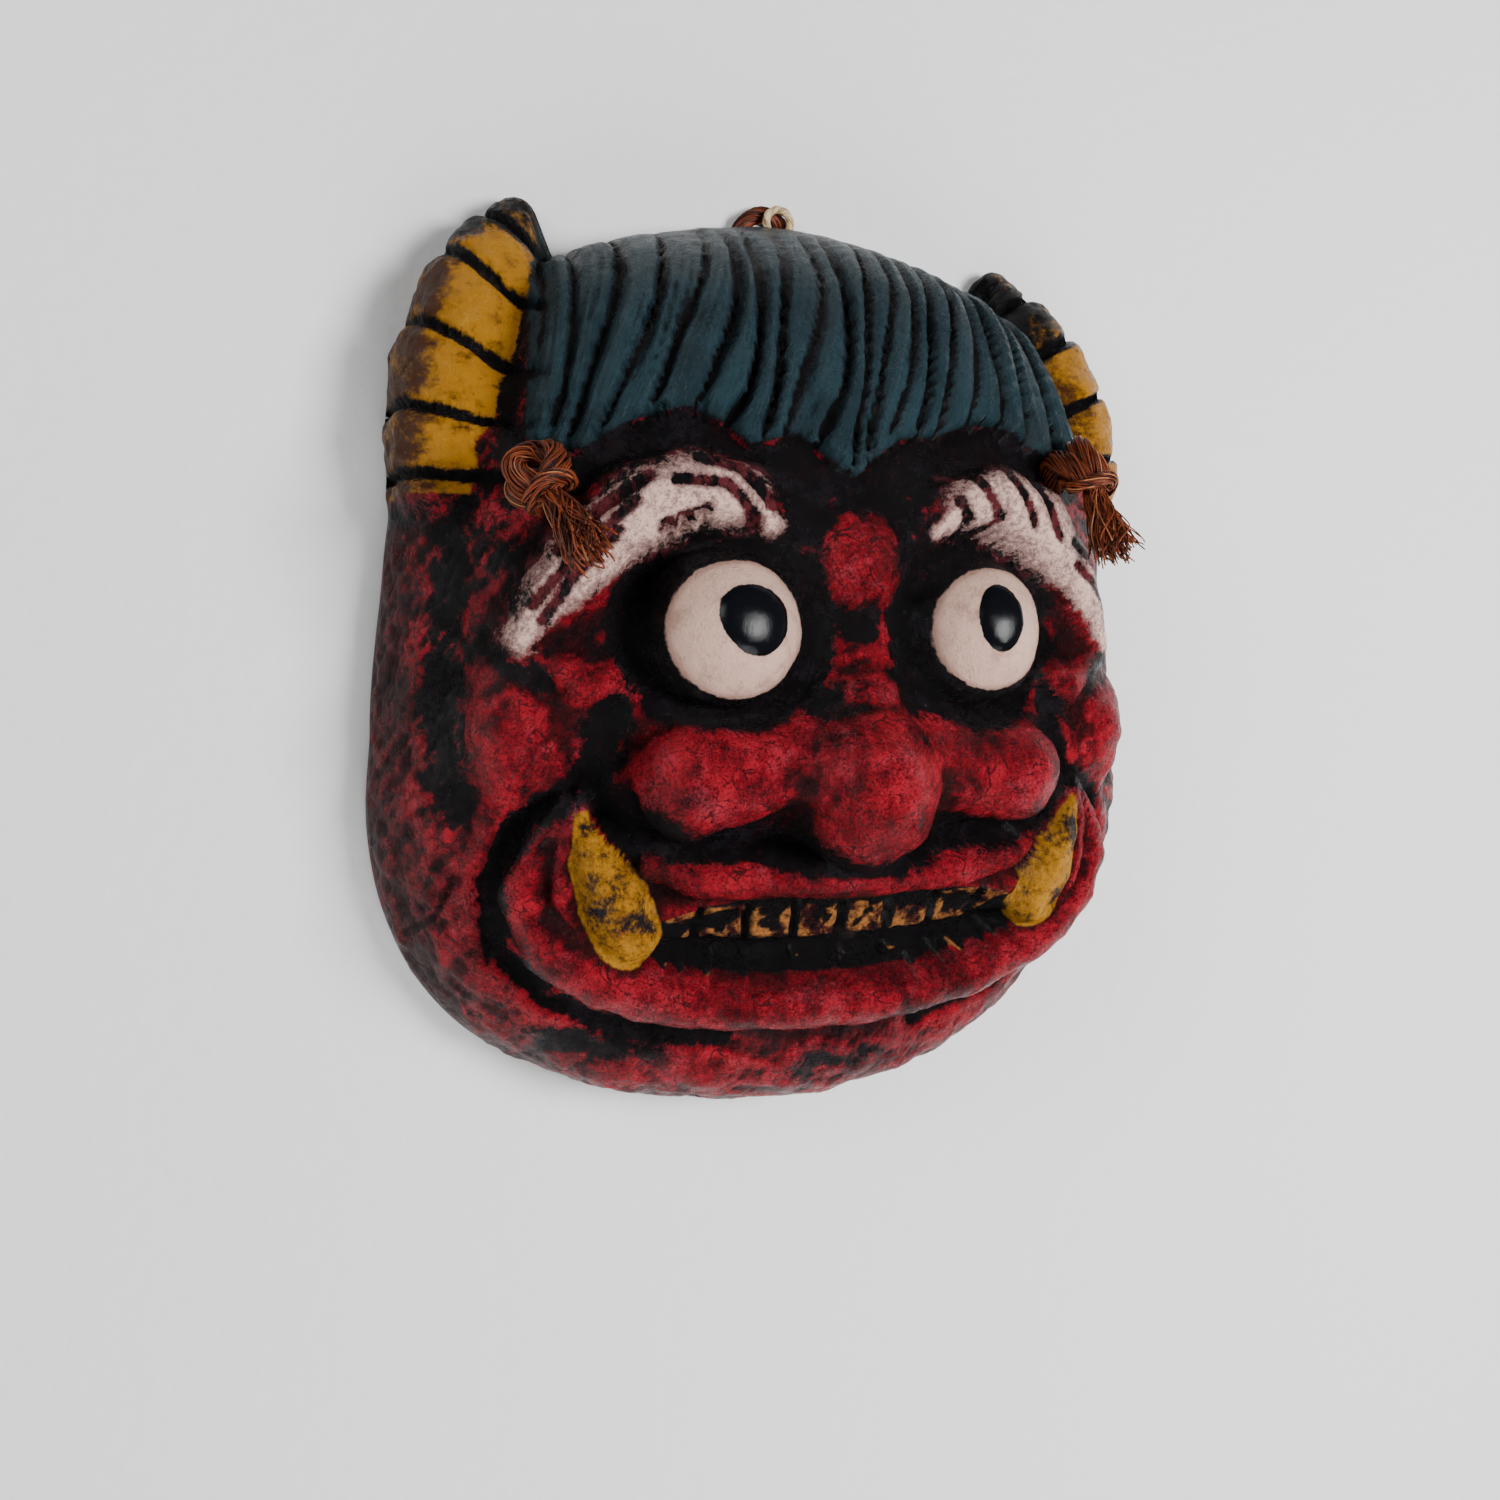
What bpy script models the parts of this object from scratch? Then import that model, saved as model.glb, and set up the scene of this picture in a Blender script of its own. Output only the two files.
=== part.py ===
"""An oni mask of moulded and painted papier-mache with its fibre hanging cord, lying on its back rim.

Metres, +Z out of the face, +Y towards the hair, +X towards the viewer's right.
The face is drawn once as a field of rounded forms and grooves in design sizes, and
every point of the shell is where a ray from behind the back plane meets that field.
"""

import math

import bmesh
import bpy
import numpy as np
from mathutils import Matrix, Vector

# The mask
HALF_WIDTH = 0.118
HALF_HEIGHT = 0.127
DOME_HEIGHT = 0.068
WALL = 0.0045
DOME_POWER = 2.1

# The hand-made unevenness: how far the right side is drawn in against the left, as shares at the rim
RIGHT_NARROWER = 0.080
RIGHT_CROWN_LOWER = 0.190
RIGHT_JAW_HIGHER = 0.410

# How far the rim's middle is from the middle of the face, which the origin allows for
MIDDLE = np.array([-0.0045, 0.0, 0.0])

# The cord and what passes through the shell for it
CORD_DIAMETER = 0.005
HOLE_CLEARANCE = 0.0015
SLOT_WIDTH = 0.026
SLOT_CLEARANCE = 0.0014
GAP = 0.0004

# The knots at the ends of the cord, and the ring at its top
KNOT_RADIUS = 0.0080
TUFT_RADIUS = 0.0052
TUFT_LENGTH = 0.026
RING_RADIUS = 0.0037
RING_THICKNESS = 0.0022
RING_PLACE = (0.0008, 0.1284)

# Where the rays of the shell's net start, behind the face, how finely the net is made,
# and how many triangles are kept
RAYS_FROM = (0.0, 0.0, -0.060)
FACE_STEPS = 140
BACK_STEPS = 30
BACK_FINER = 3
BACK_SMOOTHING = 2
NET_EASING = 20
FACE_TRIANGLES = 5600
CORD_POINTS = 72
RING_STEPS = 20

# The three skins that the field is asked for
FRONT, RIM, BACK = "front", "rim", "back"

# The sizes that the carving is drawn for
DRAWN = np.array([0.118, 0.127, 0.068])
STRETCH = np.array([HALF_WIDTH, HALF_HEIGHT, DOME_HEIGHT]) / DRAWN

# The head's outline on the back plane without its horns, right half, from chin to crown
OUTLINE = [
    (0.000, -0.1240),
    (0.035, -0.1215),
    (0.066, -0.1150),
    (0.088, -0.1055),
    (0.102, -0.0920),
    (0.112, -0.0740),
    (0.118, -0.0480),
    (0.117, -0.0200),
    (0.114, 0.0150),
    (0.110, 0.0450),
    (0.101, 0.0730),
    (0.086, 0.0950),
    (0.063, 0.1125),
    (0.035, 0.1225),
    (0.000, 0.1270),
]

# The lower edge of the fringe, from the viewer's left to the right
FRINGE = [
    (-0.086, 0.056),
    (-0.070, 0.053),
    (-0.057, 0.061),
    (-0.043, 0.065),
    (-0.034, 0.061),
    (-0.028, 0.055),
    (-0.014, 0.059),
    (-0.007, 0.052),
    (-0.001, 0.047),
    (0.006, 0.053),
    (0.015, 0.059),
    (0.026, 0.060),
    (0.038, 0.065),
    (0.052, 0.065),
    (0.066, 0.0570),
    (0.086, 0.0590),
]

# Each parting between two locks: its place across the fringe, and across the crown
PARTINGS = [
    (-0.086, -0.070),
    (-0.079, -0.062),
    (-0.074, -0.050),
    (-0.066, -0.037),
    (-0.054, -0.028),
    (-0.041, -0.022),
    (-0.033, -0.015),
    (-0.025, -0.008),
    (-0.018, 0.000),
    (-0.010, 0.008),
    (-0.003, 0.016),
    (0.003, 0.023),
    (0.010, 0.030),
    (0.018, 0.037),
    (0.027, 0.043),
    (0.037, 0.048),
    (0.048, 0.053),
    (0.059, 0.059),
    (0.070, 0.065),
    (0.086, 0.072),
]

# Rounded forms, right side, as chains of (x, y, lift of the axis over the dome, radius)
BROW = [
    (0.0210, 0.0330, -0.0020, 0.0045),
    (0.0300, 0.0410, -0.0015, 0.0090),
    (0.0430, 0.0430, -0.0010, 0.0118),
    (0.0560, 0.0385, -0.0010, 0.0118),
    (0.0680, 0.0280, -0.0010, 0.0108),
    (0.0780, 0.0140, -0.0010, 0.0092),
    (0.0830, 0.0040, -0.0010, 0.0068),
]
WING = [(0.016, -0.024, -0.002, 0.0120), (0.032, -0.028, -0.001, 0.0125), (0.046, -0.030, 0.001, 0.0145)]
BRIDGE = [(0.000, -0.003, -0.006, 0.0070), (0.000, -0.014, -0.001, 0.0115), (0.000, -0.026, 0.003, 0.0165)]
UPPER_LIP = [
    (0.000, -0.0580, 0.002, 0.0062),
    (0.028, -0.0570, 0.002, 0.0062),
    (0.045, -0.0560, 0.001, 0.0056),
    (0.054, -0.0520, 0.000, 0.0040),
]
LOWER_LIP = [
    (0.000, -0.0905, 0.004, 0.0078),
    (0.022, -0.0900, 0.004, 0.0078),
    (0.045, -0.0870, 0.004, 0.0080),
    (0.064, -0.0815, 0.004, 0.0080),
    (0.079, -0.0710, 0.003, 0.0072),
    (0.085, -0.0590, 0.002, 0.0055),
    (0.081, -0.0460, 0.001, 0.0040),
    (0.074, -0.0350, 0.000, 0.0028),
]
INNER_LIP = [
    (0.071, -0.0340, 0.002, 0.0025),
    (0.076, -0.0480, 0.002, 0.0032),
    (0.075, -0.0620, 0.003, 0.0038),
    (0.066, -0.0760, 0.004, 0.0040),
]
TUSK = [
    (0.0715, -0.0385, 0.002, 0.0018),
    (0.0680, -0.0500, 0.002, 0.0060),
    (0.0630, -0.0610, 0.002, 0.0085),
    (0.0595, -0.0690, 0.001, 0.0085),
]
SMILE_FOLD = [(0.078, 0.000, -0.001, 0.0050), (0.071, -0.006, 0.000, 0.0055), (0.063, -0.004, -0.001, 0.0035)]

# The horns, right side: (x, y, height of the axis over the back plane, radius)
HORN = [
    (0.0765, 0.1220, 0.0045, 0.0060),
    (0.0830, 0.1120, 0.0095, 0.0100),
    (0.0895, 0.0980, 0.0140, 0.0135),
    (0.0945, 0.0800, 0.0175, 0.0155),
    (0.0965, 0.0620, 0.0190, 0.0155),
    (0.0975, 0.0480, 0.0185, 0.0140),
]
HOLLOW_HORN = HORN[2:]
HORN_RINGS = [
    ((0.086, 0.121), (0.070, 0.110)),
    ((0.098, 0.109), (0.075, 0.092)),
    ((0.108, 0.090), (0.078, 0.073)),
    ((0.112, 0.067), (0.080, 0.059)),
    ((0.113, 0.049), (0.084, 0.047)),
]

# Balls, right side or midline: centre, and half sizes
EYE = ((0.0355, 0.0080, 0.0580), (0.0208, 0.0208, 0.0208))
BALL = ((0.0005, 0.0250, 0.0610), (0.0130, 0.0142, 0.0130))
NOSE_TIP = ((0.0010, -0.0330, 0.0660), (0.0190, 0.0215, 0.0220))
CHEEK = ((0.0855, -0.0200, 0.0320), (0.0175, 0.0190, 0.0230))
CHIN = ((0.0000, -0.1065, 0.0180), (0.0700, 0.0170, 0.0200))

# Carved lines, right side: (x, y) along the line, then half width and depth
SOCKET_RADIUS = 0.0235
SOCKET_WIDTH = 0.0048
SOCKET_DEPTH = 0.0046
MOUTH_FOLD = [
    (0.0620, -0.0120),
    (0.0700, -0.0330),
    (0.0850, -0.0400),
    (0.0920, -0.0560),
    (0.0890, -0.0740),
    (0.0760, -0.0880),
    (0.0560, -0.0975),
    (0.0300, -0.1010),
]
NOSTRIL_FOLD = [(0.010, -0.0520), (0.030, -0.0470), (0.048, -0.0470), (0.062, -0.0380)]
CHEEK_FOLD = [(0.0980, 0.0400), (0.1010, 0.0100), (0.1030, -0.0100), (0.1000, -0.0360)]
HAIR_FOLD = [(0.0000, 0.0600), (0.0500, 0.0600)]
MOUTH_RISE = 0.0060

# The teeth
TOOTH_WIDTH = 0.0136
TEETH_EACH_SIDE = 4
UPPER_TEETH = (-0.0740, -0.0640)
LOWER_TEETH = (-0.0835, -0.0765)
TOOTH_HEIGHT = 0.0034

# The cord's route from its middle over the crown to the right temple, along the floor inside
LOOP_SHIFT = -0.0025
ROUTE = [
    (0.0000, 0.1312, 0.0029),
    (0.0048, 0.1294, 0.0029),
    (0.0076, 0.1250, 0.0029),
    (0.0090, 0.1180, 0.0029),
    (0.0135, 0.1070, 0.0029),
    (0.0230, 0.0920, 0.0029),
    (0.0350, 0.0760, 0.0029),
    (0.0460, 0.0630, 0.0038),
    (0.0550, 0.0550, 0.0090),
    (0.0620, 0.0500, 0.0190),
]

# Each end of the cord, left then right: its temple's x and y, and the way that its tuft turns
ENDS = {
    -1.0: ((0.0765, 0.0430), (-0.0095, -0.0215, 0.0200)),
    1.0: ((0.0665, 0.0500), (0.0035, -0.0238, 0.0145)),
}


def remove_startup_objects():
    for found in list(bpy.data.objects):
        bpy.data.objects.remove(found, do_unlink=True)


def new_collection(name, shown):
    made = bpy.data.collections.new(name)
    bpy.context.scene.collection.children.link(made)
    made.hide_render = not shown
    return made


def new_material(name, colour, roughness, metallic=0.0):
    made = bpy.data.materials.new(name)
    made.use_nodes = True
    shader = made.node_tree.nodes["Principled BSDF"]
    shader.inputs["Base Color"].default_value = (*colour, 1.0)
    shader.inputs["Roughness"].default_value = roughness
    shader.inputs["Metallic"].default_value = metallic
    made.diffuse_color = (*colour, 1.0)
    return made


# The field of the face: negative inside, about the distance in metres near the surface


def smooth_min(a, b, blend):
    """The lower of two fields, with the crease between them rounded over about blend."""
    share = np.clip(0.5 + 0.5 * (b - a) / blend, 0.0, 1.0)
    return b + (a - b) * share - blend * share * (1.0 - share)


def smooth_step(low, high, value):
    share = np.clip((value - low) / (high - low), 0.0, 1.0)
    return share * share * (3.0 - 2.0 * share)


def outline_radius(angle):
    """How far the head's outline is from the middle, by the angle from +X."""
    half = np.array(OUTLINE)
    turned = np.arctan2(half[:, 1], half[:, 0])
    reach = np.hypot(half[:, 0], half[:, 1])
    angle = np.where(np.cos(angle) < 0, np.pi - angle, angle)
    angle = (angle + np.pi) % (2.0 * np.pi) - np.pi
    place = np.interp(angle, turned, np.arange(len(half)))
    # A cubic through the four nearest stations keeps the outline free of corners.
    reach = np.concatenate([[reach[1]], reach, [reach[-2]]])
    first = np.clip(place.astype(int), 0, len(half) - 2)
    t = place - first
    a, b, c, d = (reach[first + k] for k in range(4))
    return b + 0.5 * t * (c - a + t * (2 * a - 5 * b + 4 * c - d + t * (3 * (b - c) + d - a)))


def dome_height(x, y):
    across = np.hypot(x, y) / outline_radius(np.arctan2(y, x))
    return DRAWN[2] * np.clip(1.0 - across**DOME_POWER, 0.0, 1.0) ** (1.0 / DOME_POWER)


def dome(p):
    reach = outline_radius(np.arctan2(p[:, 1], p[:, 0]))
    across = np.hypot(p[:, 0], p[:, 1]) / reach
    up = np.abs(p[:, 2]) / DRAWN[2]
    size = np.maximum((across**DOME_POWER + up**DOME_POWER) ** (1.0 / DOME_POWER), 1e-6)
    slope = np.hypot(
        (across / size) ** (DOME_POWER - 1) / reach, (up / size) ** (DOME_POWER - 1) / DRAWN[2]
    )
    return (size - 1.0) / slope


def ball(p, centre, half):
    away = (p - np.array(centre)) / np.array(half)
    size = np.maximum(np.linalg.norm(away, axis=1), 1e-6)
    return size * (size - 1.0) / np.maximum(np.linalg.norm(away / np.array(half), axis=1), 1e-6)


def chain(p, stations, skirted=False):
    """The distance to a row of round cones through the stations (x, y, z, radius).

    A skirted one keeps its widest section from its axis down to the back plane.
    """
    stations = np.array(stations)
    nearest = np.full(len(p), np.inf)
    for first, second in zip(stations[:-1], stations[1:]):
        along = second[:3] - first[:3]
        share = np.clip((p - first[:3]) @ along / (along @ along), 0.0, 1.0)
        away = p - first[:3] - share[:, None] * along
        if skirted:
            away[:, 2] = np.maximum(away[:, 2], 0.0)
        away = np.linalg.norm(away, axis=1)
        nearest = np.minimum(nearest, away - first[3] - share * (second[3] - first[3]))
    return nearest


def on_dome(stations):
    """Stations (x, y, lift, radius) with each lift counted from the dome's surface."""
    rows = np.array(stations, float)
    rows[:, 2] += dome_height(rows[:, 0], rows[:, 1])
    return rows


def line_distance(x, y, points):
    nearest = np.full(len(x), np.inf)
    for (x0, y0), (x1, y1) in zip(points[:-1], points[1:]):
        dx, dy = x1 - x0, y1 - y0
        share = np.clip(((x - x0) * dx + (y - y0) * dy) / (dx * dx + dy * dy), 0.0, 1.0)
        nearest = np.minimum(nearest, np.hypot(x - x0 - share * dx, y - y0 - share * dy))
    return nearest


def groove(distance, half_width):
    """1 on the line of a groove, falling smoothly to 0 beyond its half width."""
    return np.exp(-((distance / half_width) ** 2))


def fringe_height(x):
    edge = np.array(FRINGE)
    return np.interp(x, edge[:, 0], edge[:, 1])


def hair(x, y):
    """How far the hair stands over the dome: a thick cap with a groove along each parting."""
    edge = fringe_height(x)
    inside = smooth_step(-0.0006, 0.0016, y - edge)
    inside *= 1.0 - smooth_step(0.079, 0.085, np.abs(x) + 0.12 * np.maximum(y - 0.060, 0.0))
    crown = HALF_HEIGHT / STRETCH[1]
    down = np.clip((crown - y) / (crown - edge), 0.0, 1.0)
    rows = np.array(PARTINGS)
    parting = rows[:, 1] + (rows[:, 0] - rows[:, 1]) * down[:, None] ** 1.5
    nearest = np.abs(x[:, None] - parting).min(axis=1)
    cap = 0.0052 * (1.0 - smooth_step(0.55, 0.98, 1.0 - down))
    return inside * cap * (1.0 - 0.5 * groove(nearest, 0.0017))


def teeth(x, y):
    """Two rows of rounded teeth over the floor of the mouth."""
    rise = np.zeros(len(x))
    across = x / TOOTH_WIDTH
    side = TOOTH_WIDTH * np.abs(across - np.round(across))
    within = smooth_step(0.0, 0.0016, TEETH_EACH_SIDE * TOOTH_WIDTH - np.abs(x))
    bend = 0.10 * np.abs(x)
    for low, high in (UPPER_TEETH, LOWER_TEETH):
        edge = np.minimum(np.minimum(y - low - bend * 0.5, high + bend * 0.3 - y), side)
        rise = np.maximum(rise, TOOTH_HEIGHT * smooth_step(0.0, 0.0018, edge) * within)
    return rise


def face(p, skin):
    """The whole mask's field, in its drawn sizes. Only the front has what isn't deep."""
    right = np.stack([np.abs(p[:, 0]), p[:, 1], p[:, 2]], axis=1)
    x, y = p[:, 0], p[:, 1]
    side = right[:, 0]
    field = dome(p)
    field = smooth_min(field, ball(right, *CHEEK), 0.008)
    field = smooth_min(field, ball(right, *CHIN), 0.012)
    field = smooth_min(field, chain(right, on_dome(BROW)), 0.004)
    field = smooth_min(field, chain(right, on_dome(SMILE_FOLD)), 0.004)
    eye = np.hypot(side - EYE[0][0], y - EYE[0][1])
    field += SOCKET_DEPTH * groove(eye - SOCKET_RADIUS, SOCKET_WIDTH)
    field += 0.0032 * groove(line_distance(side, y, MOUTH_FOLD), 0.0035)
    field += 0.0050 * groove(line_distance(side, y, NOSTRIL_FOLD), 0.0050)
    field += 0.0022 * groove(line_distance(side, y, CHEEK_FOLD), 0.0060)
    field += 0.0030 * groove(line_distance(side, y, HAIR_FOLD), 0.0080)
    middle = np.hypot(side / 0.056, (y + 0.0725) / 0.0125)
    field += MOUTH_RISE * (1.0 - smooth_step(0.75, 1.10, middle))
    if skin == FRONT:
        field -= teeth(x, y)
    field = smooth_min(field, chain(p, on_dome(BRIDGE)), 0.010)
    field = smooth_min(field, ball(p, *NOSE_TIP), 0.006)
    field = smooth_min(field, chain(right, on_dome(WING)), 0.005)
    field = smooth_min(field, chain(right, on_dome(UPPER_LIP)), 0.002)
    field = smooth_min(field, chain(right, on_dome(LOWER_LIP)), 0.003)
    field = smooth_min(field, chain(right, on_dome(INNER_LIP)), 0.0015)
    field = smooth_min(field, chain(right, on_dome(TUSK)), 0.0010)
    field = smooth_min(field, ball(p, *BALL), 0.003)
    field = smooth_min(field, ball(right, *EYE), 0.0010)
    horn = HOLLOW_HORN if skin == BACK else HORN
    field = smooth_min(field, chain(right, horn, skirted=True), 0.003)
    if skin == FRONT:
        rings = np.min([line_distance(side, y, ring) for ring in HORN_RINGS], axis=0)
        field += 0.0020 * groove(rings, 0.0013)
        field -= hair(x, y)
    return field


# From the field to the shell


def lean(p):
    """Places on the drawn-in right side brought to where they are on an even face.

    Returns them, and how much the face is drawn in there.
    """
    side = np.maximum(p[:, 0], 0.0) / DRAWN[0]
    up = p[:, 1] / DRAWN[1]
    share = np.where(up > 0.0, RIGHT_CROWN_LOWER, RIGHT_JAW_HIGHER) * np.abs(up) * side**2
    x = p[:, 0] * (1.0 + RIGHT_NARROWER * side)
    y = p[:, 1] * (1.0 + share)
    return np.stack([x, y, p[:, 2]], axis=1), 1.0 + share


def field_at(points, skin):
    even, drawn_in = lean(points / STRETCH)
    return face(even, skin) * STRETCH.min() / drawn_in


def march(start, along, far, floor, inset, skin):
    """Moves each point in along its ray, from far to where the field is -inset or to floor."""
    moving = np.arange(len(far))
    for _ in range(90):
        value = field_at(start + far[moving, None] * along[moving], skin) + inset
        step = np.where(value > 0, np.maximum(0.62 * value, 2e-5), 0.5 * value)
        far[moving] = np.maximum(far[moving] - step, floor[moving])
        moving = moving[(np.abs(value) > 3e-5) & (far[moving] > floor[moving])]
        if not len(moving):
            break
    return far


def rim_loop(inset, steps):
    """The four sides of the rim, each of steps + 1 points: top, right, bottom and left."""
    angles = np.linspace(-np.pi, np.pi, 1081)[:-1]
    along = np.stack([np.cos(angles), np.sin(angles), np.zeros(len(angles))], axis=1)
    far = np.full(len(angles), 1.4 * max(HALF_WIDTH, HALF_HEIGHT))
    skin = BACK if inset else RIM
    loop = march(0.0, along, far, np.full(len(angles), 0.02), inset, skin)[:, None] * along
    end = HOLLOW_HORN[0] if skin == BACK else HORN[0]
    tip, jaw = math.atan2(end[1], end[0]), math.atan2(-0.098, 0.102)
    corners = [np.pi - tip, tip, jaw, -np.pi - jaw]
    sides = []
    for k, start in enumerate(corners):
        end = corners[(k + 1) % 4]
        if k == 3:
            start += 2.0 * np.pi
        turned = np.linspace(start, end, 500)
        x = np.interp(turned, angles, loop[:, 0], period=2.0 * np.pi)
        y = np.interp(turned, angles, loop[:, 1], period=2.0 * np.pi)
        length = np.concatenate([[0.0], np.cumsum(np.hypot(np.diff(x), np.diff(y)))])
        even = np.linspace(0.0, length[-1], steps + 1)
        sides.append(np.stack([np.interp(even, length, x), np.interp(even, length, y)], axis=1))
    return sides


def crowd(share):
    """Moves evenly spaced shares of 0 to 1 towards the middle, where the face stands out."""
    off = 2.0 * share - 1.0
    return 0.5 + 0.5 * (0.74 * off + 0.26 * off**3)


def rays(inset, steps):
    """Where each ray of a square net crosses the back plane: the net's edge is the rim."""
    top, right, bottom, left = rim_loop(inset, steps)
    bottom, left = bottom[::-1], left[::-1]
    right = right[::-1]
    left = left[::-1] if left[0, 1] > left[-1, 1] else left
    u = crowd(np.linspace(0.0, 1.0, steps + 1))[None, :, None]
    v = crowd(np.linspace(0.0, 1.0, steps + 1))[:, None, None]
    even = np.linspace(0.0, 1.0, steps + 1)

    def resample(side):
        share = crowd(even)
        return np.stack([np.interp(share, even, side[:, k]) for k in (0, 1)], axis=1)

    top, right, bottom, left = (resample(side) for side in (top, right, bottom, left))
    net = (1 - v) * bottom[None] + v * top[None] + (1 - u) * left[:, None] + u * right[:, None]
    corners = (
        (1 - u) * (1 - v) * bottom[0]
        + u * (1 - v) * bottom[-1]
        + (1 - u) * v * top[0]
        + u * v * top[-1]
    )
    net = net - corners
    for _ in range(NET_EASING):
        net[1:-1, 1:-1] = 0.25 * (net[:-2, 1:-1] + net[2:, 1:-1] + net[1:-1, :-2] + net[1:-1, 2:])
    return net


def reaches(net, inset, skin):
    """The way of each ray through the net's points, and how far out the field is -inset."""
    start = np.array(RAYS_FROM)
    flat = net.reshape(-1, 2)
    through = np.concatenate([flat, np.zeros((len(flat), 1))], axis=1)
    along = through - start
    reach = np.linalg.norm(along, axis=1)
    along /= reach[:, None]
    high = (1.7 * DOME_HEIGHT - start[2]) / along[:, 2]
    far = np.maximum(np.minimum(high, 2.2 * max(HALF_WIDTH, HALF_HEIGHT)), reach + 0.002)
    far = march(start, along, far, reach, inset, skin).reshape(net.shape[:2])
    reach = reach.reshape(far.shape)
    for edge in (np.s_[0, :], np.s_[-1, :], np.s_[:, 0], np.s_[:, -1]):
        far[edge] = reach[edge]
    return start, along, far


def front_surface():
    start, along, far = reaches(rays(0.0, FACE_STEPS), 0.0, FRONT)
    return start + far.reshape(-1)[:, None] * along


def back_surface():
    """The back, a wall's thickness behind the deepest of what is near each of its points."""
    start, along, far = reaches(rays(WALL, BACK_STEPS * BACK_FINER), WALL, BACK)
    inner = np.s_[1:-1, 1:-1]
    steps = len(far)
    near = [far[i : steps - 2 + i, j : steps - 2 + j] for i in range(3) for j in range(3)]
    far[inner] = np.min(near, axis=0)
    far = far[::BACK_FINER, ::BACK_FINER]
    along = along.reshape(steps, steps, 3)[::BACK_FINER, ::BACK_FINER]
    for _ in range(BACK_SMOOTHING):
        near = 0.25 * (far[:-2, 1:-1] + far[2:, 1:-1] + far[1:-1, :-2] + far[1:-1, 2:])
        far[inner] = np.minimum(far[inner], 0.5 * far[inner] + 0.5 * near)
    return start + far.reshape(-1)[:, None] * along.reshape(-1, 3)


def add_net(mesh, points, steps, outward):
    """A bmesh grid whose corners are moved to these points."""
    made = bmesh.ops.create_grid(mesh, x_segments=steps, y_segments=steps, size=1.0)
    corners = sorted(made["verts"], key=lambda v: (round(v.co.y, 6), round(v.co.x, 6)))
    for corner, place in zip(corners, points):
        corner.co = place
    faces = {face for corner in corners for face in corner.link_faces}
    if not outward:
        bmesh.ops.reverse_faces(mesh, faces=list(faces))
    return corners


def mesh_object(name, mesh, collection, material):
    data = bpy.data.meshes.new(name)
    mesh.to_mesh(data)
    mesh.free()
    made = bpy.data.objects.new(name, data)
    collection.objects.link(made)
    if material:
        data.materials.append(material)
    return made


def make_face_skin(collection):
    """The front of the shell, worked out finely and thinned where it is smooth."""
    mesh = bmesh.new()
    add_net(mesh, front_surface(), FACE_STEPS, True)
    skin = mesh_object("face_skin", mesh, collection, None)
    thin = skin.modifiers.new("thin", "DECIMATE")
    thin.ratio = FACE_TRIANGLES / (2.0 * FACE_STEPS**2)
    bpy.context.view_layer.update()
    graph = bpy.context.evaluated_depsgraph_get()
    data = bpy.data.meshes.new_from_object(skin.evaluated_get(graph))
    bpy.data.objects.remove(skin)
    return data


def combine(target, others, operation):
    for other in others:
        other.display_type = "WIRE"
        other.hide_render = True
        modifier = target.modifiers.new(other.name, "BOOLEAN")
        modifier.operation = operation
        modifier.solver = "EXACT"
        modifier.object = other


def make_shell(shown, hidden, material):
    """The mask: its carved front, its smoother back a wall's thickness behind, and the rim between."""
    mesh = bmesh.new()
    mesh.from_mesh(make_face_skin(hidden))
    for corner in mesh.verts:
        if corner.is_boundary:
            corner.co.z = 0.0
    add_net(mesh, back_surface(), BACK_STEPS, False)
    rim = [edge for edge in mesh.edges if edge.is_boundary]
    bmesh.ops.triangle_fill(mesh, edges=rim, use_beauty=True, normal=(0.0, 0.0, -1.0))
    bmesh.ops.triangulate(mesh, faces=mesh.faces[:])
    bmesh.ops.recalc_face_normals(mesh, faces=mesh.faces[:])
    return mesh_object("mask_shell", mesh, shown, material)


def temple(hand):
    """Where this end of the cord leaves the shell, and the way out of it there."""
    x, y = ENDS[hand][0]
    place = np.array([[hand * x, y, 0.0]])
    even = lean(place)[0]
    place = place[0] + [0.0, 0.0, dome_height(even[:, 0], even[:, 1])[0]]
    steps = place + 1e-4 * np.concatenate([np.eye(3), -np.eye(3)])
    value = dome(lean(steps)[0])
    out = value[:3] - value[3:]
    return place * STRETCH, out / np.linalg.norm(out)


def smooth_curve(points, count):
    """Evenly spaced points on the cubic that runs through these points."""
    points = np.array(points)
    points = np.concatenate([[2 * points[0] - points[1]], points, [2 * points[-1] - points[-2]]])
    fine = []
    for a, b, c, d in zip(points, points[1:], points[2:], points[3:]):
        for t in np.linspace(0.0, 1.0, 24, endpoint=False):
            fine.append(b + 0.5 * t * (c - a + t * (2 * a - 5 * b + 4 * c - d + t * (3 * (b - c) + d - a))))
    fine = np.array([*fine, points[-2]])
    length = np.concatenate([[0.0], np.cumsum(np.linalg.norm(np.diff(fine, axis=0), axis=1))])
    even = np.linspace(0.0, length[-1], count)
    return np.stack([np.interp(even, length, fine[:, k]) for k in range(3)], axis=1)


def cord_end(hand):
    """This end's knot, by its middle, and the tip of its tuft."""
    place, out = temple(hand)
    knot = place + (KNOT_RADIUS + 2.0 * GAP) * out
    turn = np.array(ENDS[hand][1]) * np.array([hand, 1.0, 1.0])
    return knot, knot + turn * TUFT_LENGTH / np.linalg.norm(turn)


def cord_side(hand):
    """The cord's points from its middle over the crown to this end's knot."""
    shift = np.array([LOOP_SHIFT, 0.0, 0.0])
    loop = [np.array([hand * x, y, z]) + shift for x, y, z in ROUTE[:4]]
    hidden = [np.array([hand * x, y, z]) for x, y, z in ROUTE[4:]]
    place, out = temple(hand)
    return [*loop, *hidden, place - 0.010 * out, place, cord_end(hand)[0]]


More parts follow.
